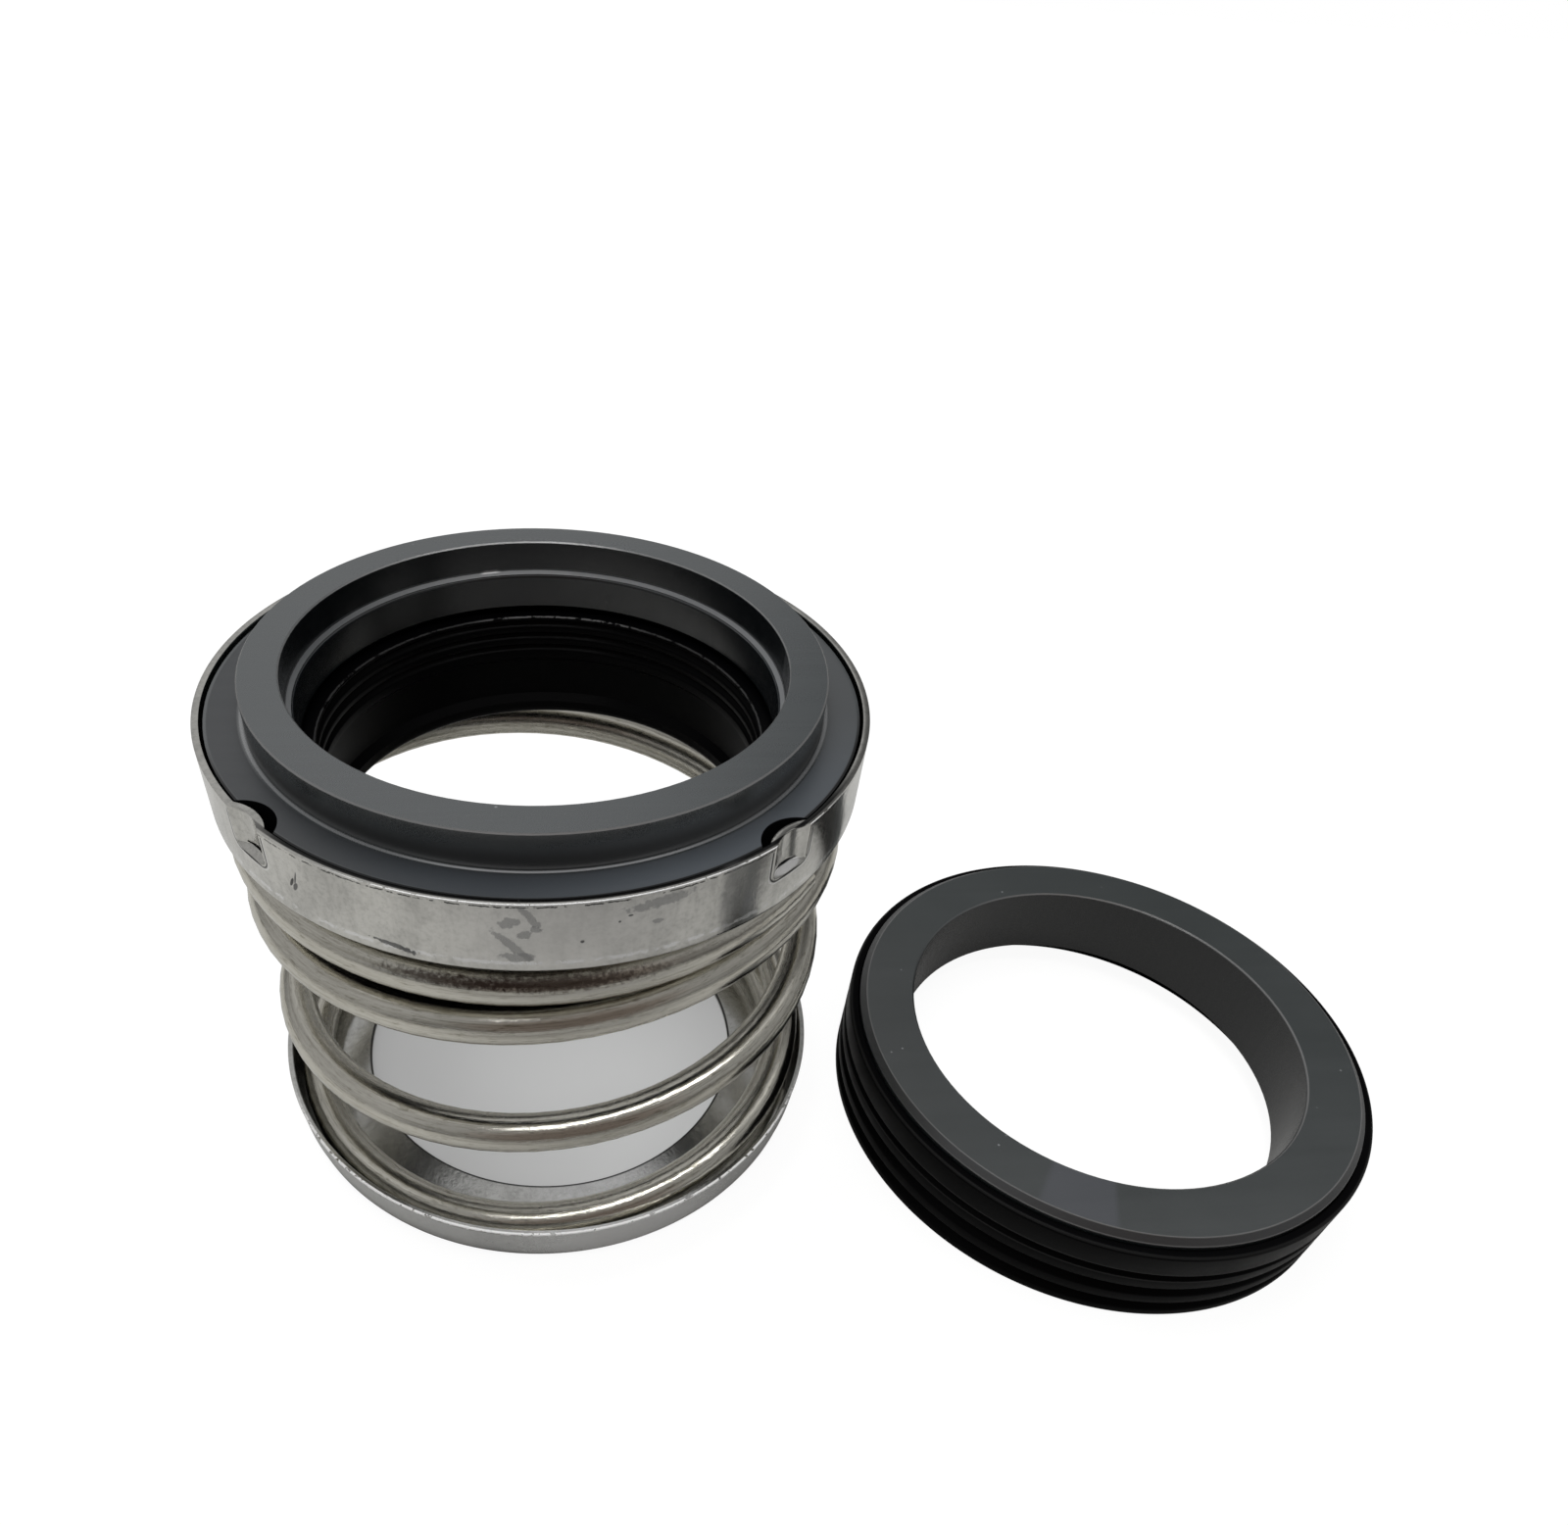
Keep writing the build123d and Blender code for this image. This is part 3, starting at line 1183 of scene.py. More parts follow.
@dataclass
class Boot:
    """The seat's rubber boot, grooved outside."""

    finish: Rubber
    foot_bore: float = 29.3
    radius: float = 34.5
    bore: float = 33.3
    top: float = 13.4
    foot: float = 3.7
    edge: float = 0.5
    foot_edge: float = 0.2
    bore_edge: float = 0.1
    grooves: tuple = (Groove(2.3, 1.05, 0.9), Groove(5.65, 1.05, 0.9), Groove(9.0, 0.7, 0.6))
    steps: int = 240

    def section(self) -> Section:
        """Half the section.

        Returns:
            Radius and height of each point, in millimetres.
        """
        points = [(self.foot_bore, self.foot), (self.foot_bore, self.foot_edge)]
        points += [(self.foot_bore + self.foot_edge, 0.0)]
        points += arc((self.radius - self.edge, self.edge), self.edge, -90, 0, 5)
        for groove in self.grooves:
            points += groove_points(self.radius, groove.height, groove.half_width, groove.depth)
        points += arc((self.radius - self.edge, self.top - self.edge), self.edge, 0, 90, 6)
        points += [(self.bore + self.bore_edge, self.top), (self.bore, self.top - self.bore_edge)]
        points += [(self.bore, self.foot)]
        return points

    def build(self) -> str:
        """Turns the boot and puts it in place of its node.

        Returns:
            What was done.
        """
        bench = Bench("boot_moulding")
        around = tuple(place / MM for place in seat_place())
        bench.draw(self.section(), around)
        bench.turn([(360.0, self.steps)], around)
        bench.close()
        bench.smooth()
        settle(bench.piece, self.finish.material(), Body.STAND, "seat_boot")
        return f"boot: {len(self.grooves)} grooves"


@dataclass
class DriveCase:
    """The pressed case, with four lugs lanced from its wall and pushed in to drive the ring."""

    finish: Sheet
    sheet: float = 0.7
    radius: float = 36.05
    hole: float = 30.5
    base: float = 51.2
    rim: float = 59.9
    bend: float = 0.9
    lug_count: int = 4
    lug_bearing: float = 40.0
    lug_half_angle: float = 4.0
    lug_depth: float = 0.85
    lug_reach: float = 5.0
    lug_columns: int = 50
    wall_columns: int = 100
    lug_foot: float = 56.2
    slit: float = 0.14
    slit_half_angle: float = 2.4
    ledge_drop: float = 0.85
    ledge_rows: int = 14
    ledge_margin: float = 0.4
    ledge_reach: float = 0.9
    ledge_half_angle: float = 4.3
    ledge_share: float = 0.92
    ledge_round: float = 0.1
    wall_rows: tuple = (57.2, 58.2, 59.2)
    edge_row: float = 0.2
    edge_bevel: float = 0.08
    edge_angle: float = 60.0
    crown_round: float = 0.02
    bend_round: float = 0.16

    def section(self) -> Section:
        """The outer skin's half section, from the hole out and up to the rim.

        Returns:
            Radius and height of each point, in millimetres.
        """
        points = [(self.hole, self.base), ((self.hole + self.radius) / 2, self.base)]
        points += arc((self.radius - self.bend, self.base + self.bend), self.bend, -90, 0)
        low = self.lug_foot - self.ledge_drop - self.ledge_margin
        rise = self.lug_foot - self.slit - low
        rows = [low + rise * row / self.ledge_rows for row in range(self.ledge_rows + 1)]
        rows += [self.lug_foot, self.lug_foot + self.edge_row, *self.wall_rows]
        rows += [self.rim - self.edge_row, self.rim]
        return points + [(self.radius, height) for height in rows]

    def build(self) -> str:
        """Presses the case and puts it in place of its node.

        Returns:
            What was done.
        """
        bench = Bench("drive_case_pressing")
        spacing = 360 / self.lug_count
        bench.draw(self.section(), closed=False, bearing=self.lug_bearing - self.lug_reach)
        parts = [(2 * self.lug_reach, self.lug_columns), (spacing - 2 * self.lug_reach, self.wall_columns)]
        bench.turn(parts * self.lug_count)
        slits = [self.lug_bearing + lug * spacing for lug in range(self.lug_count)]
        bench.pick(lambda at: self._in_slit(at, slits))
        bpy.ops.mesh.delete(type="ONLY_FACE")
        bench.close()
        self._push_in(bench, slits)
        bench.modify("SOLIDIFY", {"thickness": self.sheet * MM, "offset": -1.0, "use_even_offset": True})
        limit = {"limit_method": "ANGLE", "angle_limit": math.radians(self.edge_angle)}
        bench.modify("BEVEL", {"width": self.edge_bevel * MM, "segments": 2, **limit})
        bench.smooth()
        settle(bench.piece, self.finish.material(), Body.HEAD, "drive_case")
        return f"case: {self.lug_count} lugs"

    def _in_slit(self, at: Vector, slits: list[float]) -> bool:
        """Whether a point edges one of the slits.

        Args:
            at: The point.
            slits: The bearing of each slit.

        Returns:
            Whether it does.
        """
        level = self.lug_foot - self.slit - SAME_HEIGHT < at.z / MM < self.lug_foot + SAME_HEIGHT
        return level and any(abs(bearing_off(at, bearing)) < self.slit_half_angle for bearing in slits)

    def _push_in(self, bench: Bench, bearings: list[float]) -> None:
        """Pushes the lugs and the ledges under them in, each point by its own share.

        Args:
            bench: The bench with the case's skin.
            bearings: The bearing of each lug.
        """
        lugs = bench.piece.vertex_groups.new(name="lugs")
        for point in bench.piece.data.vertices:
            if point.co.xy.length < (self.radius - 0.1) * MM:
                continue
            off = min((bearing_off(point.co, bearing) for bearing in bearings), key=abs)
            if abs(off) < self.lug_reach:
                lugs.add([point.index], self.push(off, point.co.z / MM) / self.lug_depth, "REPLACE")
        inwards = {"direction": "NORMAL", "mid_level": 0.0, "strength": -self.lug_depth * MM}
        bench.modify("DISPLACE", {"vertex_group": "lugs", **inwards})

    def push(self, off: float, height: float) -> float:
        """How far the wall is pushed in at one place.

        Args:
            off: Degrees from the lug's middle.
            height: The height in millimetres.

        Returns:
            The depth in millimetres.
        """
        chord = self.radius * math.sin(math.radians(self.lug_half_angle))
        sagitta = self.radius * math.cos(math.radians(self.lug_half_angle)) - self.radius + self.lug_depth
        curve = (chord ** 2 + sagitta ** 2) / (2 * sagitta)
        centre = self.radius - self.lug_depth + curve
        across = min(centre * math.sin(math.radians(abs(off))), curve * 0.95)
        inner = centre * math.cos(math.radians(off)) - math.sqrt(curve ** 2 - across ** 2)
        bulge = rounded_least(self.radius - inner, self.lug_depth, self.crown_round)
        if height < self.lug_foot - SAME_HEIGHT:
            foot = self.lug_foot - self.slit
            round_off = max(1 - abs(off / self.ledge_half_angle) ** 2.5, 0.02) ** 0.6
            drop = (self.ledge_drop - self.slit) * round_off
            ledge = (height - foot + drop) / drop * self.lug_depth * self.ledge_reach
            bulge = rounded_least(bulge * self.ledge_share, ledge, self.ledge_round)
        return min(max(-rounded_least(-bulge, 0.0, self.bend_round), 0.0), self.lug_depth)


@dataclass
class SpringHolder:
    """The shallow pressed cup under the spring."""

    finish: Sheet
    sheet: float = 0.7
    hole: float = 25.85
    foot_radius: float = 35.7
    rim_radius: float = 36.3
    height: float = 6.5
    bend: float = 0.8
    floor_middle: float = 30.0
    hole_edge: float = 0.08
    rim_edge: float = 0.1
    burr_width: float = 0.05
    burr_drop: float = 0.12
    wall_rows: tuple = (0.4, 0.6, 0.8, 0.93)
    steps: int = 720

    def section(self) -> Section:
        """Half the section.

        Returns:
            Radius and height of each point, in millimetres.
        """
        outer = self.bend + self.sheet
        centre = (self.foot_radius - outer, outer)
        lean = self.rim_radius - self.foot_radius
        edge = self.hole_edge
        points = [(self.hole + edge, 0.0), (self.floor_middle, 0.0)]
        points += arc(centre, outer, -90, -5)
        points += [(self.foot_radius + lean * row, self.height * row) for row in self.wall_rows]
        points += [(self.rim_radius, self.height - self.burr_drop)]
        points += [(self.rim_radius - self.burr_width, self.height)]
        inner = self.rim_radius - self.sheet
        points += [(inner + self.rim_edge, self.height), (inner, self.height - self.rim_edge)]
        points += [(self.foot_radius + lean * 0.5 - self.sheet, self.height * 0.5)]
        points += arc(centre, self.bend, -5, -90, 6)
        points += [(self.floor_middle, self.sheet), (self.hole + edge, self.sheet)]
        return points + [(self.hole, self.sheet - edge), (self.hole, edge)]

    def build(self) -> str:
        """Presses the holder and puts it in place of its node.

        Returns:
            What was done.
        """
        bench = Bench("spring_holder_pressing")
        bench.draw(self.section())
        bench.turn([(360.0, self.steps)])
        bench.close()
        bench.smooth()
        settle(bench.piece, self.finish.material(), Body.STAND, "spring_holder")
        return "holder: a shallow cup"


@dataclass
class CoilSpring:
    """The coil spring: flat at the bottom, open in the middle and closed under the case."""

    finish: DrawnWire
    wire: float = 2.15
    bottom: float = 3.05
    top: float = 48.85
    radius: float = 32.65
    taper: float = 0.65
    bearing: float = -20.0
    bottom_turns: float = 0.744
    active_turns: float = 2.176
    closed_turns: float = 1.03
    closed_pitch: float = 4.0
    tip_turns: float = 0.14
    tip_rise: float = 1.2
    ease: float = 0.14
    lift: float = 0.5
    swell: float = 1.35
    swell_turns: tuple = (1.93, 2.68)
    points: int = 72
    round_steps: int = 10
    sharp: float = 50.0

    @property
    def turns(self) -> float:
        """All the wire's turns."""
        return self.bottom_turns + self.active_turns + self.closed_turns

    def eased(self, turns: float) -> float:
        """Turns past a change of pitch, with the change itself spread out.

        Args:
            turns: Turns past the middle of the change.

        Returns:
            The turns that count.
        """
        if turns <= -self.ease / 2:
            return 0.0
        if turns >= self.ease / 2:
            return turns
        return (turns + self.ease / 2) ** 2 / (2 * self.ease)

    def height(self, turns: float) -> float:
        """Height of the wire's centre, so many turns up from its bottom end.

        Args:
            turns: The turns.

        Returns:
            The height in millimetres.
        """
        rise = self.top - self.bottom - self.closed_pitch * self.closed_turns - self.tip_rise
        pitch = rise / self.active_turns
        climb = pitch * self.eased(turns - self.bottom_turns)
        closing = (pitch - self.closed_pitch) * self.eased(turns - self.bottom_turns - self.active_turns)
        tip = self.tip_rise / self.tip_turns * self.eased(turns - self.turns + self.tip_turns)
        lift = self.lift * math.sin(math.pi * min(turns / self.bottom_turns, 1.0)) ** 2
        first, last = self.swell_turns
        swell = self.swell * math.sin(math.pi * min(max((turns - first) / (last - first), 0.0), 1.0)) ** 2
        return self.bottom + climb - closing + tip + lift + swell

    def share(self, turns: float) -> float:
        """How far a point of the wire follows the head, from 0 at the foot to 1 in the closed turn.

        Args:
            turns: Turns up from the bottom end.

        Returns:
            The share.
        """
        past = turns - self.bottom_turns
        return (self.eased(past) - self.eased(past - self.active_turns)) / self.active_turns

    def build(self) -> str:
        """Winds the spring and puts it in place of its node.

        Returns:
            What was done.
        """
        count = round(self.turns * self.points)
        line = bpy.data.curves.new("coil_spring_wire", "CURVE")
        line.dimensions = "3D"
        line.bevel_depth = self.wire * MM
        line.bevel_resolution = self.round_steps
        line.use_fill_caps = True
        spline = line.splines.new("POLY")
        spline.points.add(count)
        for step in range(count + 1):
            turns = self.turns * step / count
            angle = math.radians(self.bearing + 360 * turns)
            radius = self.radius + self.taper * turns / self.turns
            place = (radius * math.cos(angle), radius * math.sin(angle), self.height(turns))
            spline.points[step].co = (*(value * MM for value in place), 1.0)
        piece = bpy.data.objects.new("coil_spring_wire", line)
        bpy.context.scene.collection.objects.link(piece)
        bpy.ops.object.select_all(action="DESELECT")
        piece.select_set(True)
        bpy.context.view_layer.objects.active = piece
        bpy.ops.object.convert(target="MESH")
        piece = bpy.context.object
        bench = Bench("coil_spring_wire")
        bench.piece = piece
        bench.smooth(self.sharp)
        piece.data.materials.clear()
        piece.data.materials.append(self.finish.material())
        foot, head = (0.0, 0.0, self.bottom * MM), (0.0, 0.0, self.top * MM)
        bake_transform(piece, Body.STAND.value, Body.HEAD.value, foot, head)
        self._spread(piece)
        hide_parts("spring")
        return f"spring: {self.turns:.2f} turns of {2 * self.wire:.1f} mm wire"

    def _spread(self, piece: bpy.types.Object) -> None:
        """Gives each point its share of the head's travel, by its turn, and its place in the wire's own lay.

        Args:
            piece: The wire, already blended.
        """
        lay = piece.data.attributes.new(self.finish.lay, "FLOAT_VECTOR", "POINT").data
        weights = piece.data.attributes["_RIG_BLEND"].data
        turn_length = 2 * math.pi * self.radius * MM
        for point in piece.data.vertices:
            place = point.co / MM
            first = ((math.degrees(math.atan2(place.y, place.x)) - self.bearing) / 360) % 1.0
            near = [first + turn for turn in range(-1, 5) if -0.05 < first + turn < self.turns + 0.05]
            turns = min(near, key=lambda turns: abs(self.height(turns) - place.z))
            turns = min(max(turns, 0.0), self.turns)
            weights[point.index].value = self.share(turns)
            out = place.xy.length - self.radius - self.taper * turns / self.turns
            rise = place.z - self.height(turns)
            lay[point.index].vector = (out * MM, rise * MM, turns * turn_length)


def seat_place() -> tuple[float, float]:
    """Where the seat's axis stands, from its node's box."""
    low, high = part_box("seat_ring")
    return (low.x + high.x) / 2, (low.y + high.y) / 2


def groove_points(radius: float, height: float, half_width: float, depth: float) -> Section:
    """Points of one rounded groove of a section, from below to above.

    Args:
        radius: The surface's radius.
        height: The groove's height.
        half_width: Half its width.
        depth: How deep it is, below 0 on a bore.

    Returns:
        The points.
    """
    points = []
    steps = 8
    for step in range(-steps, steps + 1):
        across = step / steps
        sunk = (0.5 + 0.5 * math.cos(math.pi * across)) * depth
        points.append((radius - sunk, height + across * half_width))
    return points


def rounded_least(first: float, second: float, round_off: float) -> float:
    """The lesser of two values, with the corner between them rounded.

    Args:
        first: A value.
        second: A value.
        round_off: How near to each other they are where the rounding starts.

    Returns:
        A value at or just below the lesser.
    """
    overlap = max(round_off - abs(first - second), 0.0)
    return min(first, second) - overlap ** 2 / (4 * round_off)


def bearing_off(place: Vector, bearing: float) -> float:
    """How far a point lies from a bearing round the head's axis.

    Args:
        place: The point.
        bearing: The bearing in degrees.

    Returns:
        Degrees, from -180 to 180.
    """
    off = math.degrees(math.atan2(place.y, place.x)) - bearing
    return (off + 180.0) % 360.0 - 180.0


def settle(piece: bpy.types.Object, material: bpy.types.Material, body: Body, node: str) -> None:
    """Dresses a finished piece and puts it on its body, in place of its node.

    Args:
        piece: The piece.
        material: Its finish.
        body: The body that it rides on.
        node: The node that it replaces.
    """
    piece.data.materials.clear()
    piece.data.materials.append(material)
    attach(piece, body.value)
    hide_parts(node)


def grey(level: float, blue: float = 0.0) -> tuple[float, float, float]:
    """A grey, or a slightly blue one.

    Args:
        level: How light it is.
        blue: How much more blue than red it has, as a share.

    Returns:
        The colour.
    """
    return (level * (1 - blue / 2), level, level * (1 + blue / 2))


def ring_finish() -> Carbide:
    """The face ring's finish, with painted highlights on its edges, fillet and bore step, a painted glint in
    its bore, painted light and shade on its shoulder, and painted shade in its scoops, its bore and low on
    its nose.

    Returns:
        The finish.
    """
    shoulder = {"radii": (31.7, 34.7), "heights": (59.3, 59.7)}
    fillet_highlight = {"radius": 31.33, "height": 59.64, "strength": 0.9, "rough": 0.0}
    bore_step_highlight = {"colour": grey(0.30, 0.1), "rough": 0.0}
    details = (
        Band(**shoulder, colour=(0.018, 0.022, 0.025), rough=0.16),
        # Painted shade on the shoulder towards the back left, and painted light on it at the front right
        Band(**shoulder, colour=(0.014, 0.018, 0.022), rough=0.0, shade=0.38, window=(-152.0, 50.0, 84.0)),
        Band(**shoulder, colour=(0.024, 0.032, 0.041), rough=0.0, window=(-68.0, 30.0, 62.0)),
        # Painted shade in the scoops, low on the nose and in the bore
        Band(radii=(31.6, 34.9), heights=(55.0, 59.4), colour=grey(0.002), shade=0.95, soft=0.05),
        Band(radii=(30.0, 31.4), heights=(59.9, 61.4), colour=grey(0.002), shade=0.55, soft=0.9),
        Band(
            radii=(26.0, 27.2), heights=(55.0, 63.4), colour=(0.010, 0.016, 0.021), rough=-0.05, shade=0.83
        ),
        # Painted shadow along the shoulder's outer edge at the front
        Trace(
            radius=34.98, height=59.45, reach=0.3, colour=grey(0.001), shade=0.9, window=(-85.0, 62.0, 80.0)
        ),
        # Painted highlights along the fillet at the nose's root and on the nose's edges
        Trace(**fillet_highlight, reach=0.3, colour=grey(0.20, 0.06), window=(-90.0, 70.0, 110.0)),
        Trace(**fillet_highlight, reach=0.24, colour=grey(0.50, 0.06), window=(-87.0, 14.0, 34.0)),
        Trace(radius=31.05, height=63.6, reach=0.2, colour=grey(0.09)),
        Trace(radius=26.9, height=63.6, reach=0.16, colour=grey(0.12)),
        # Painted highlight on the bore step, with painted highlight lines at both its edges, and a painted
        # glint
        Band(radii=(26.3, 26.8), heights=(59.5, 60.0), colour=grey(0.13, 0.1), shade=-0.6, soft=0.05),
        Trace(radius=26.9, height=60.0, reach=0.09, **bore_step_highlight),
        Trace(radius=26.15, height=59.5, reach=0.1, **bore_step_highlight),
        Trace(
            radius=26.85,
            height=59.9,
            reach=0.3,
            ragged=0.2,
            colour=grey(0.97),
            rough=0.0,
            window=(102.8, 1.2, 3.2),
        ),
    )
    return Carbide("ring_carbide", details=details)


def seat_finish() -> Carbide:
    """The seat ring's finish, with painted shade on its chamfer and in its bore, painted highlights along
    its edges, and a narrow lighter strip across its face.

    Returns:
        The finish.
    """
    details = (
        # Painted shade on the chamfer and in the bore
        Band(radii=(32.45, 33.4), heights=(13.7, 15.0), colour=(0.010, 0.012, 0.014), shade=0.5, soft=0.06),
        Band(radii=(25.8, 26.1), heights=(3.0, 14.5), colour=(0.003, 0.004, 0.005), rough=-0.05, shade=0.88),
        Band(
            radii=(25.5, 32.4),
            heights=(14.5, 15.0),
            colour=(0.012, 0.016, 0.024),
            soft=0.3,
            window=(-118.0, 7.0, 9.0),
        ),
        # Painted highlights along the face's outer edge, the chamfer at the front and the bore's edge
        Trace(radius=32.4, height=14.7, reach=0.12, colour=grey(0.07)),
        Trace(radius=33.2, height=13.9, reach=0.16, colour=grey(0.14), window=(-60.0, 70.0, 110.0)),
        Trace(radius=26.0, height=14.65, reach=0.18, colour=grey(0.08), window=(10.0, 80.0, 115.0)),
    )
    return Carbide(
        "seat_carbide",
        base=(0.008, 0.0125, 0.013),
        pale=(0.016, 0.022, 0.0235),
        details=details,
        centre=seat_place(),
        roughness=0.32,
        grinding=0.4,
    )


def case_edges() -> tuple[Detail, ...]:
    """The case's painted sheen, the painted highlight on the burr of its rim with painted shade beside it,
    and the painted light and shade lines of its two bends.

    Returns:
        The details, in the order that they are laid.
    """
    front = (-85.0, 45.0, 62.0)
    burr_highlight = (-80.0, 28.0, 50.0)
    return (
        # Painted sheen on the front of the wall
        Mark(
            bearing=-90.0,
            height=55.6,
            length=9.5,
            width=4.6,
            ragged=0.25,
            soft=0.5,
            colour=(0.80, 0.785, 0.75),
            strength=0.5,
        ),
        # Painted shade on the rim's inner half and in a ragged line under the burr
        Trace(radius=35.5, height=59.9, reach=0.34, colour=grey(0.03), window=front),
        Trace(
            radius=36.08, height=59.58, reach=0.12, ragged=0.9, colour=grey(0.04), strength=0.9, window=front
        ),
        # Painted highlight on the rim's burr
        Trace(
            radius=36.02, height=59.88, reach=0.10, ragged=0.75, colour=grey(0.88), matt_highlight=0.7, window=burr_highlight
        ),
        # Painted highlight along the bottom bend, and painted shade under it
        Trace(radius=36.05, height=52.75, reach=0.3, ragged=0.9, colour=grey(0.85), matt_highlight=0.2, strength=0.7),
        Trace(radius=35.8, height=51.8, reach=0.25, ragged=0.8, colour=grey(0.25), strength=0.6),
    )


def case_marks() -> tuple[Detail, ...]:
    """The smudges, stains and scratches that handling left on the case's wall, and a painted dark reflection
    in an upright band.

    Returns:
        The details, in the order that they are laid.
    """
    smudge = {"colour": grey(0.25), "strength": 0.6, "ragged": 0.75, "grain": 1300.0}
    stain_and_painted_shade = {"colour": grey(0.12), "strength": 0.9, "grain": 2600.0}
    nick = {"colour": grey(0.04), "strength": 0.95, "ragged": 0.2}
    line = {"colour": grey(0.10)}
    painted_dark_reflection = {"colour": grey(0.18), "strength": 0.65, "ragged": 0.3, "soft": 0.5}
    return (
        Mark(bearing=-95.7, height=57.7, length=1.0, width=0.55, lean=10.0, **smudge),
        Mark(bearing=-92.4, height=58.2, length=1.8, width=0.42, lean=-56.0, **smudge),
        Mark(bearing=-91.8, height=57.0, length=0.5, width=0.4, **smudge),
        Mark(bearing=-93.5, height=56.3, length=0.65, width=0.5, lean=20.0, **smudge),
        Mark(bearing=-95.4, height=55.0, length=2.6, width=0.5, lean=-48.0, **smudge),
        Mark(bearing=-94.4, height=53.5, length=1.5, width=0.6, **smudge),
        Mark(bearing=-112.6, height=52.95, length=1.9, width=0.3, lean=-8.0, ragged=1.0, **stain_and_painted_shade),
        Mark(bearing=-110.8, height=52.65, length=0.9, width=0.3, lean=-14.0, ragged=0.9, **stain_and_painted_shade),
        Mark(bearing=-115.8, height=53.2, length=0.16, width=0.14, ragged=0.2, **stain_and_painted_shade),
        Mark(bearing=-129.9, height=56.0, length=0.7, width=0.16, lean=62.0, **nick),
        Mark(
            bearing=-129.3, height=55.6, length=0.6, width=0.22, lean=60.0, ragged=0.4, strength=0.9, **line
        ),
        Mark(bearing=-128.9, height=56.8, length=0.9, width=0.1, lean=74.0, ragged=0.2, **line),
        Mark(bearing=-74.0, height=58.6, length=3.4, width=0.6, lean=4.0, **smudge),
        Mark(bearing=-78.5, height=57.65, length=0.26, width=0.12, ragged=0.4, **stain_and_painted_shade),
        Mark(bearing=-80.1, height=57.1, length=0.14, width=0.14, ragged=0.2, **stain_and_painted_shade),
        Mark(bearing=-85.4, height=55.2, length=0.2, width=0.2, ragged=0.3, **stain_and_painted_shade),
        Mark(bearing=-74.4, height=56.3, length=0.6, width=0.3, **smudge),
        # A painted dark reflection, in an upright band on the wall
        Mark(bearing=-62.2, height=56.8, length=1.2, width=5.0, **painted_dark_reflection),
    )


def lug_lines() -> tuple[Detail, ...]:
    """The painted highlight and the painted shade line round each lug, and the painted highlight on the
    ledge and the painted shade in the slit of the one in front.

    Returns:
        The details, in the order that they are laid.
    """
    lugs = {"bearing": 40.0, "spacing": 90.0}
    ledge = {"bearing": -50.0, "height": 55.85, "length": 2.0, "width": 0.42, "ragged": 0.2}
    slit = {"bearing": -50.0, "height": 56.15, "length": 1.6, "width": 0.14, "ragged": 0.1}
    return (
        # Painted highlight and painted shade along the bends round each lug
        Crease(**lugs, half_width=3.1, foot=55.1, colour=grey(0.9), strength=0.6),
        Crease(**lugs, half_width=2.93, foot=55.3, reach=0.14, colour=grey(0.06)),
        # Painted highlight on the front lug's ledge and painted shade in its slit
        Mark(**ledge, colour=grey(0.92), matt_highlight=0.25, strength=0.8),
        Mark(**slit, wall=35.2, colour=grey(0.02)),
    )


def case_finish() -> Sheet:
    """The case's finish, with the painted light and shade of its edges, its handling marks, a painted dark
    reflection, and the painted lines round its lugs.
    """
    return Sheet("case_steel", details=case_edges() + case_marks() + lug_lines())


def holder_finish() -> Sheet:
    """The holder's finish, with a painted highlight on the burr of its rim and painted shade under it,
    painted shade round its foot and at its hole's edge, a painted sheen, and a lighter, rougher outer wall.

    Returns:
        The finish.
    """
    burr_highlight = {"colour": grey(0.97), "matt_highlight": 0.95, "window": (-92.0, 50.0, 75.0)}
    painted_sheen = {"colour": grey(0.97), "strength": 0.7, "ragged": 0.25, "soft": 0.5}
    details = (
        # Painted shade under the rim's burr, and a painted highlight on the burr
        Trace(radius=36.3, height=6.2, reach=0.12, ragged=0.8, colour=grey(0.10), strength=0.7),
        Trace(radius=36.2, height=6.47, reach=0.26, ragged=0.75, **burr_highlight),
        # Painted shade round the foot
        Band(radii=(34.0, 36.5), heights=(0.0, 1.4), colour=grey(0.24), strength=0.5, soft=0.5),
        Band(radii=(35.7, 36.5), heights=(1.4, 6.2), colour=grey(0.74), strength=0.6, rough=0.12, soft=0.1),
        # Painted sheen on the wall at the front
        Mark(bearing=-76.0, height=3.5, length=13.0, width=5.0, **painted_sheen),
        # Painted shade at the hole's edge, by the floor
        Trace(radius=25.8, height=0.7, reach=0.42, colour=grey(0.05), strength=0.95),
    )
    return Sheet("holder_steel", (0.66, 0.66, 0.64), (0.50, 0.50, 0.48), details=details, roughness=0.17)


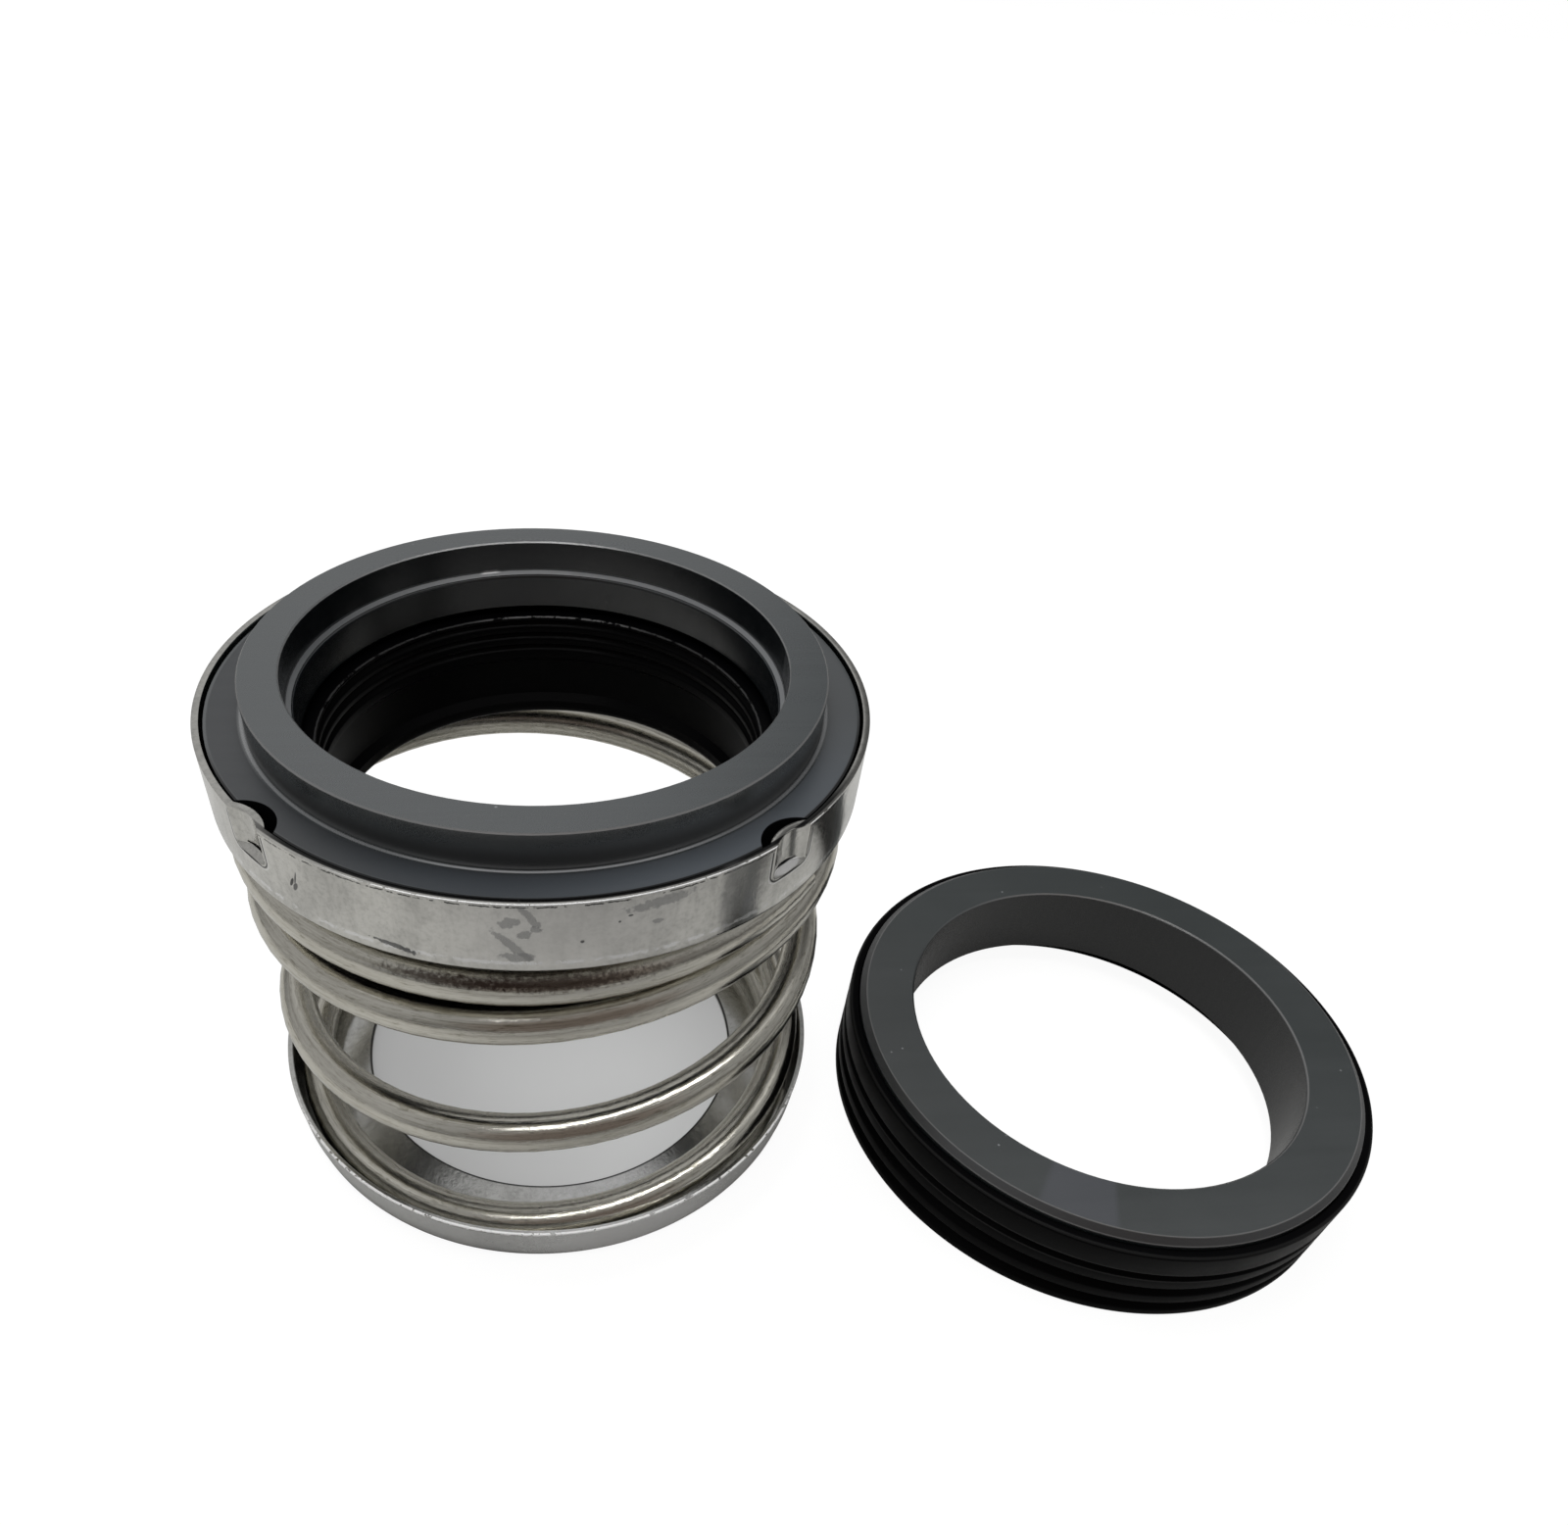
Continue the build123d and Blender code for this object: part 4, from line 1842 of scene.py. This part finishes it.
def wire_finish() -> DrawnWire:
    """The wire's finish, with brown painted shade and painted reflection on the closed turn.

    Returns:
        The finish.
    """
    stain_and_painted_shade = {"wall": 35.0, "grain": 2200.0, "lean": 1.1, "soft": 0.5, "colour": (0.055, 0.036, 0.029)}
    details = (
        # Brown painted shade and painted reflection on the closed turn, under the case
        Mark(bearing=-90.0, height=48.65, length=9.0, width=0.62, ragged=0.9, strength=0.8, **stain_and_painted_shade),
        Mark(bearing=-64.0, height=49.1, length=6.0, width=0.35, ragged=1.0, strength=0.3, **stain_and_painted_shade),
        Mark(bearing=-105.0, height=48.3, length=7.0, width=0.4, ragged=1.0, strength=0.8, **stain_and_painted_shade),
    )
    return DrawnWire("spring_wire", details=details)


def bellows_finish() -> Rubber:
    """The bellows' finish, with a painted highlight along the edge of its lip.

    Returns:
        The finish.
    """
    lip = {"radius": 24.82, "height": 54.42, "reach": 0.15, "ragged": 0.8}
    details = (
        # Painted highlight along the lip's edge, brighter at the back
        Trace(**lip, colour=grey(0.03)),
        Trace(**lip, colour=grey(0.10), window=(84.0, 14.0, 30.0)),
    )
    return Rubber("bellows_rubber", details=details)


def boot_finish() -> Rubber:
    """The boot's finish, with painted highlights along the edge round its top and the lips of its upper
    groove.

    Returns:
        The finish.
    """
    details = (
        # Painted highlights along the edge round the top and the lips of the upper groove
        Trace(radius=34.3, height=13.3, reach=0.22, colour=grey(0.010)),
        Trace(radius=34.45, height=9.75, reach=0.16, ragged=0.3, colour=grey(0.022)),
        Trace(radius=34.45, height=8.25, reach=0.16, ragged=0.3, colour=grey(0.018)),
    )
    return Rubber("boot_rubber", details=details, centre=seat_place())


def main() -> None:
    """Builds the scene."""
    logging.basicConfig(level=logging.INFO, format="%(message)s")
    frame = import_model()
    bpy.ops.object.select_all(action="DESELECT")
    Studio().build()
    pieces = (
        Ring(frame["nodes"]["face_ring"], ring_finish()),
        Ring(frame["nodes"]["seat_ring"], seat_finish()),
        DriveCase(case_finish()),
        SpringHolder(holder_finish()),
        CoilSpring(wire_finish()),
        Bellows(bellows_finish()),
        Boot(boot_finish()),
    )
    for piece in pieces:
        log.info(piece.build())


if __name__ == "__main__":
    main()
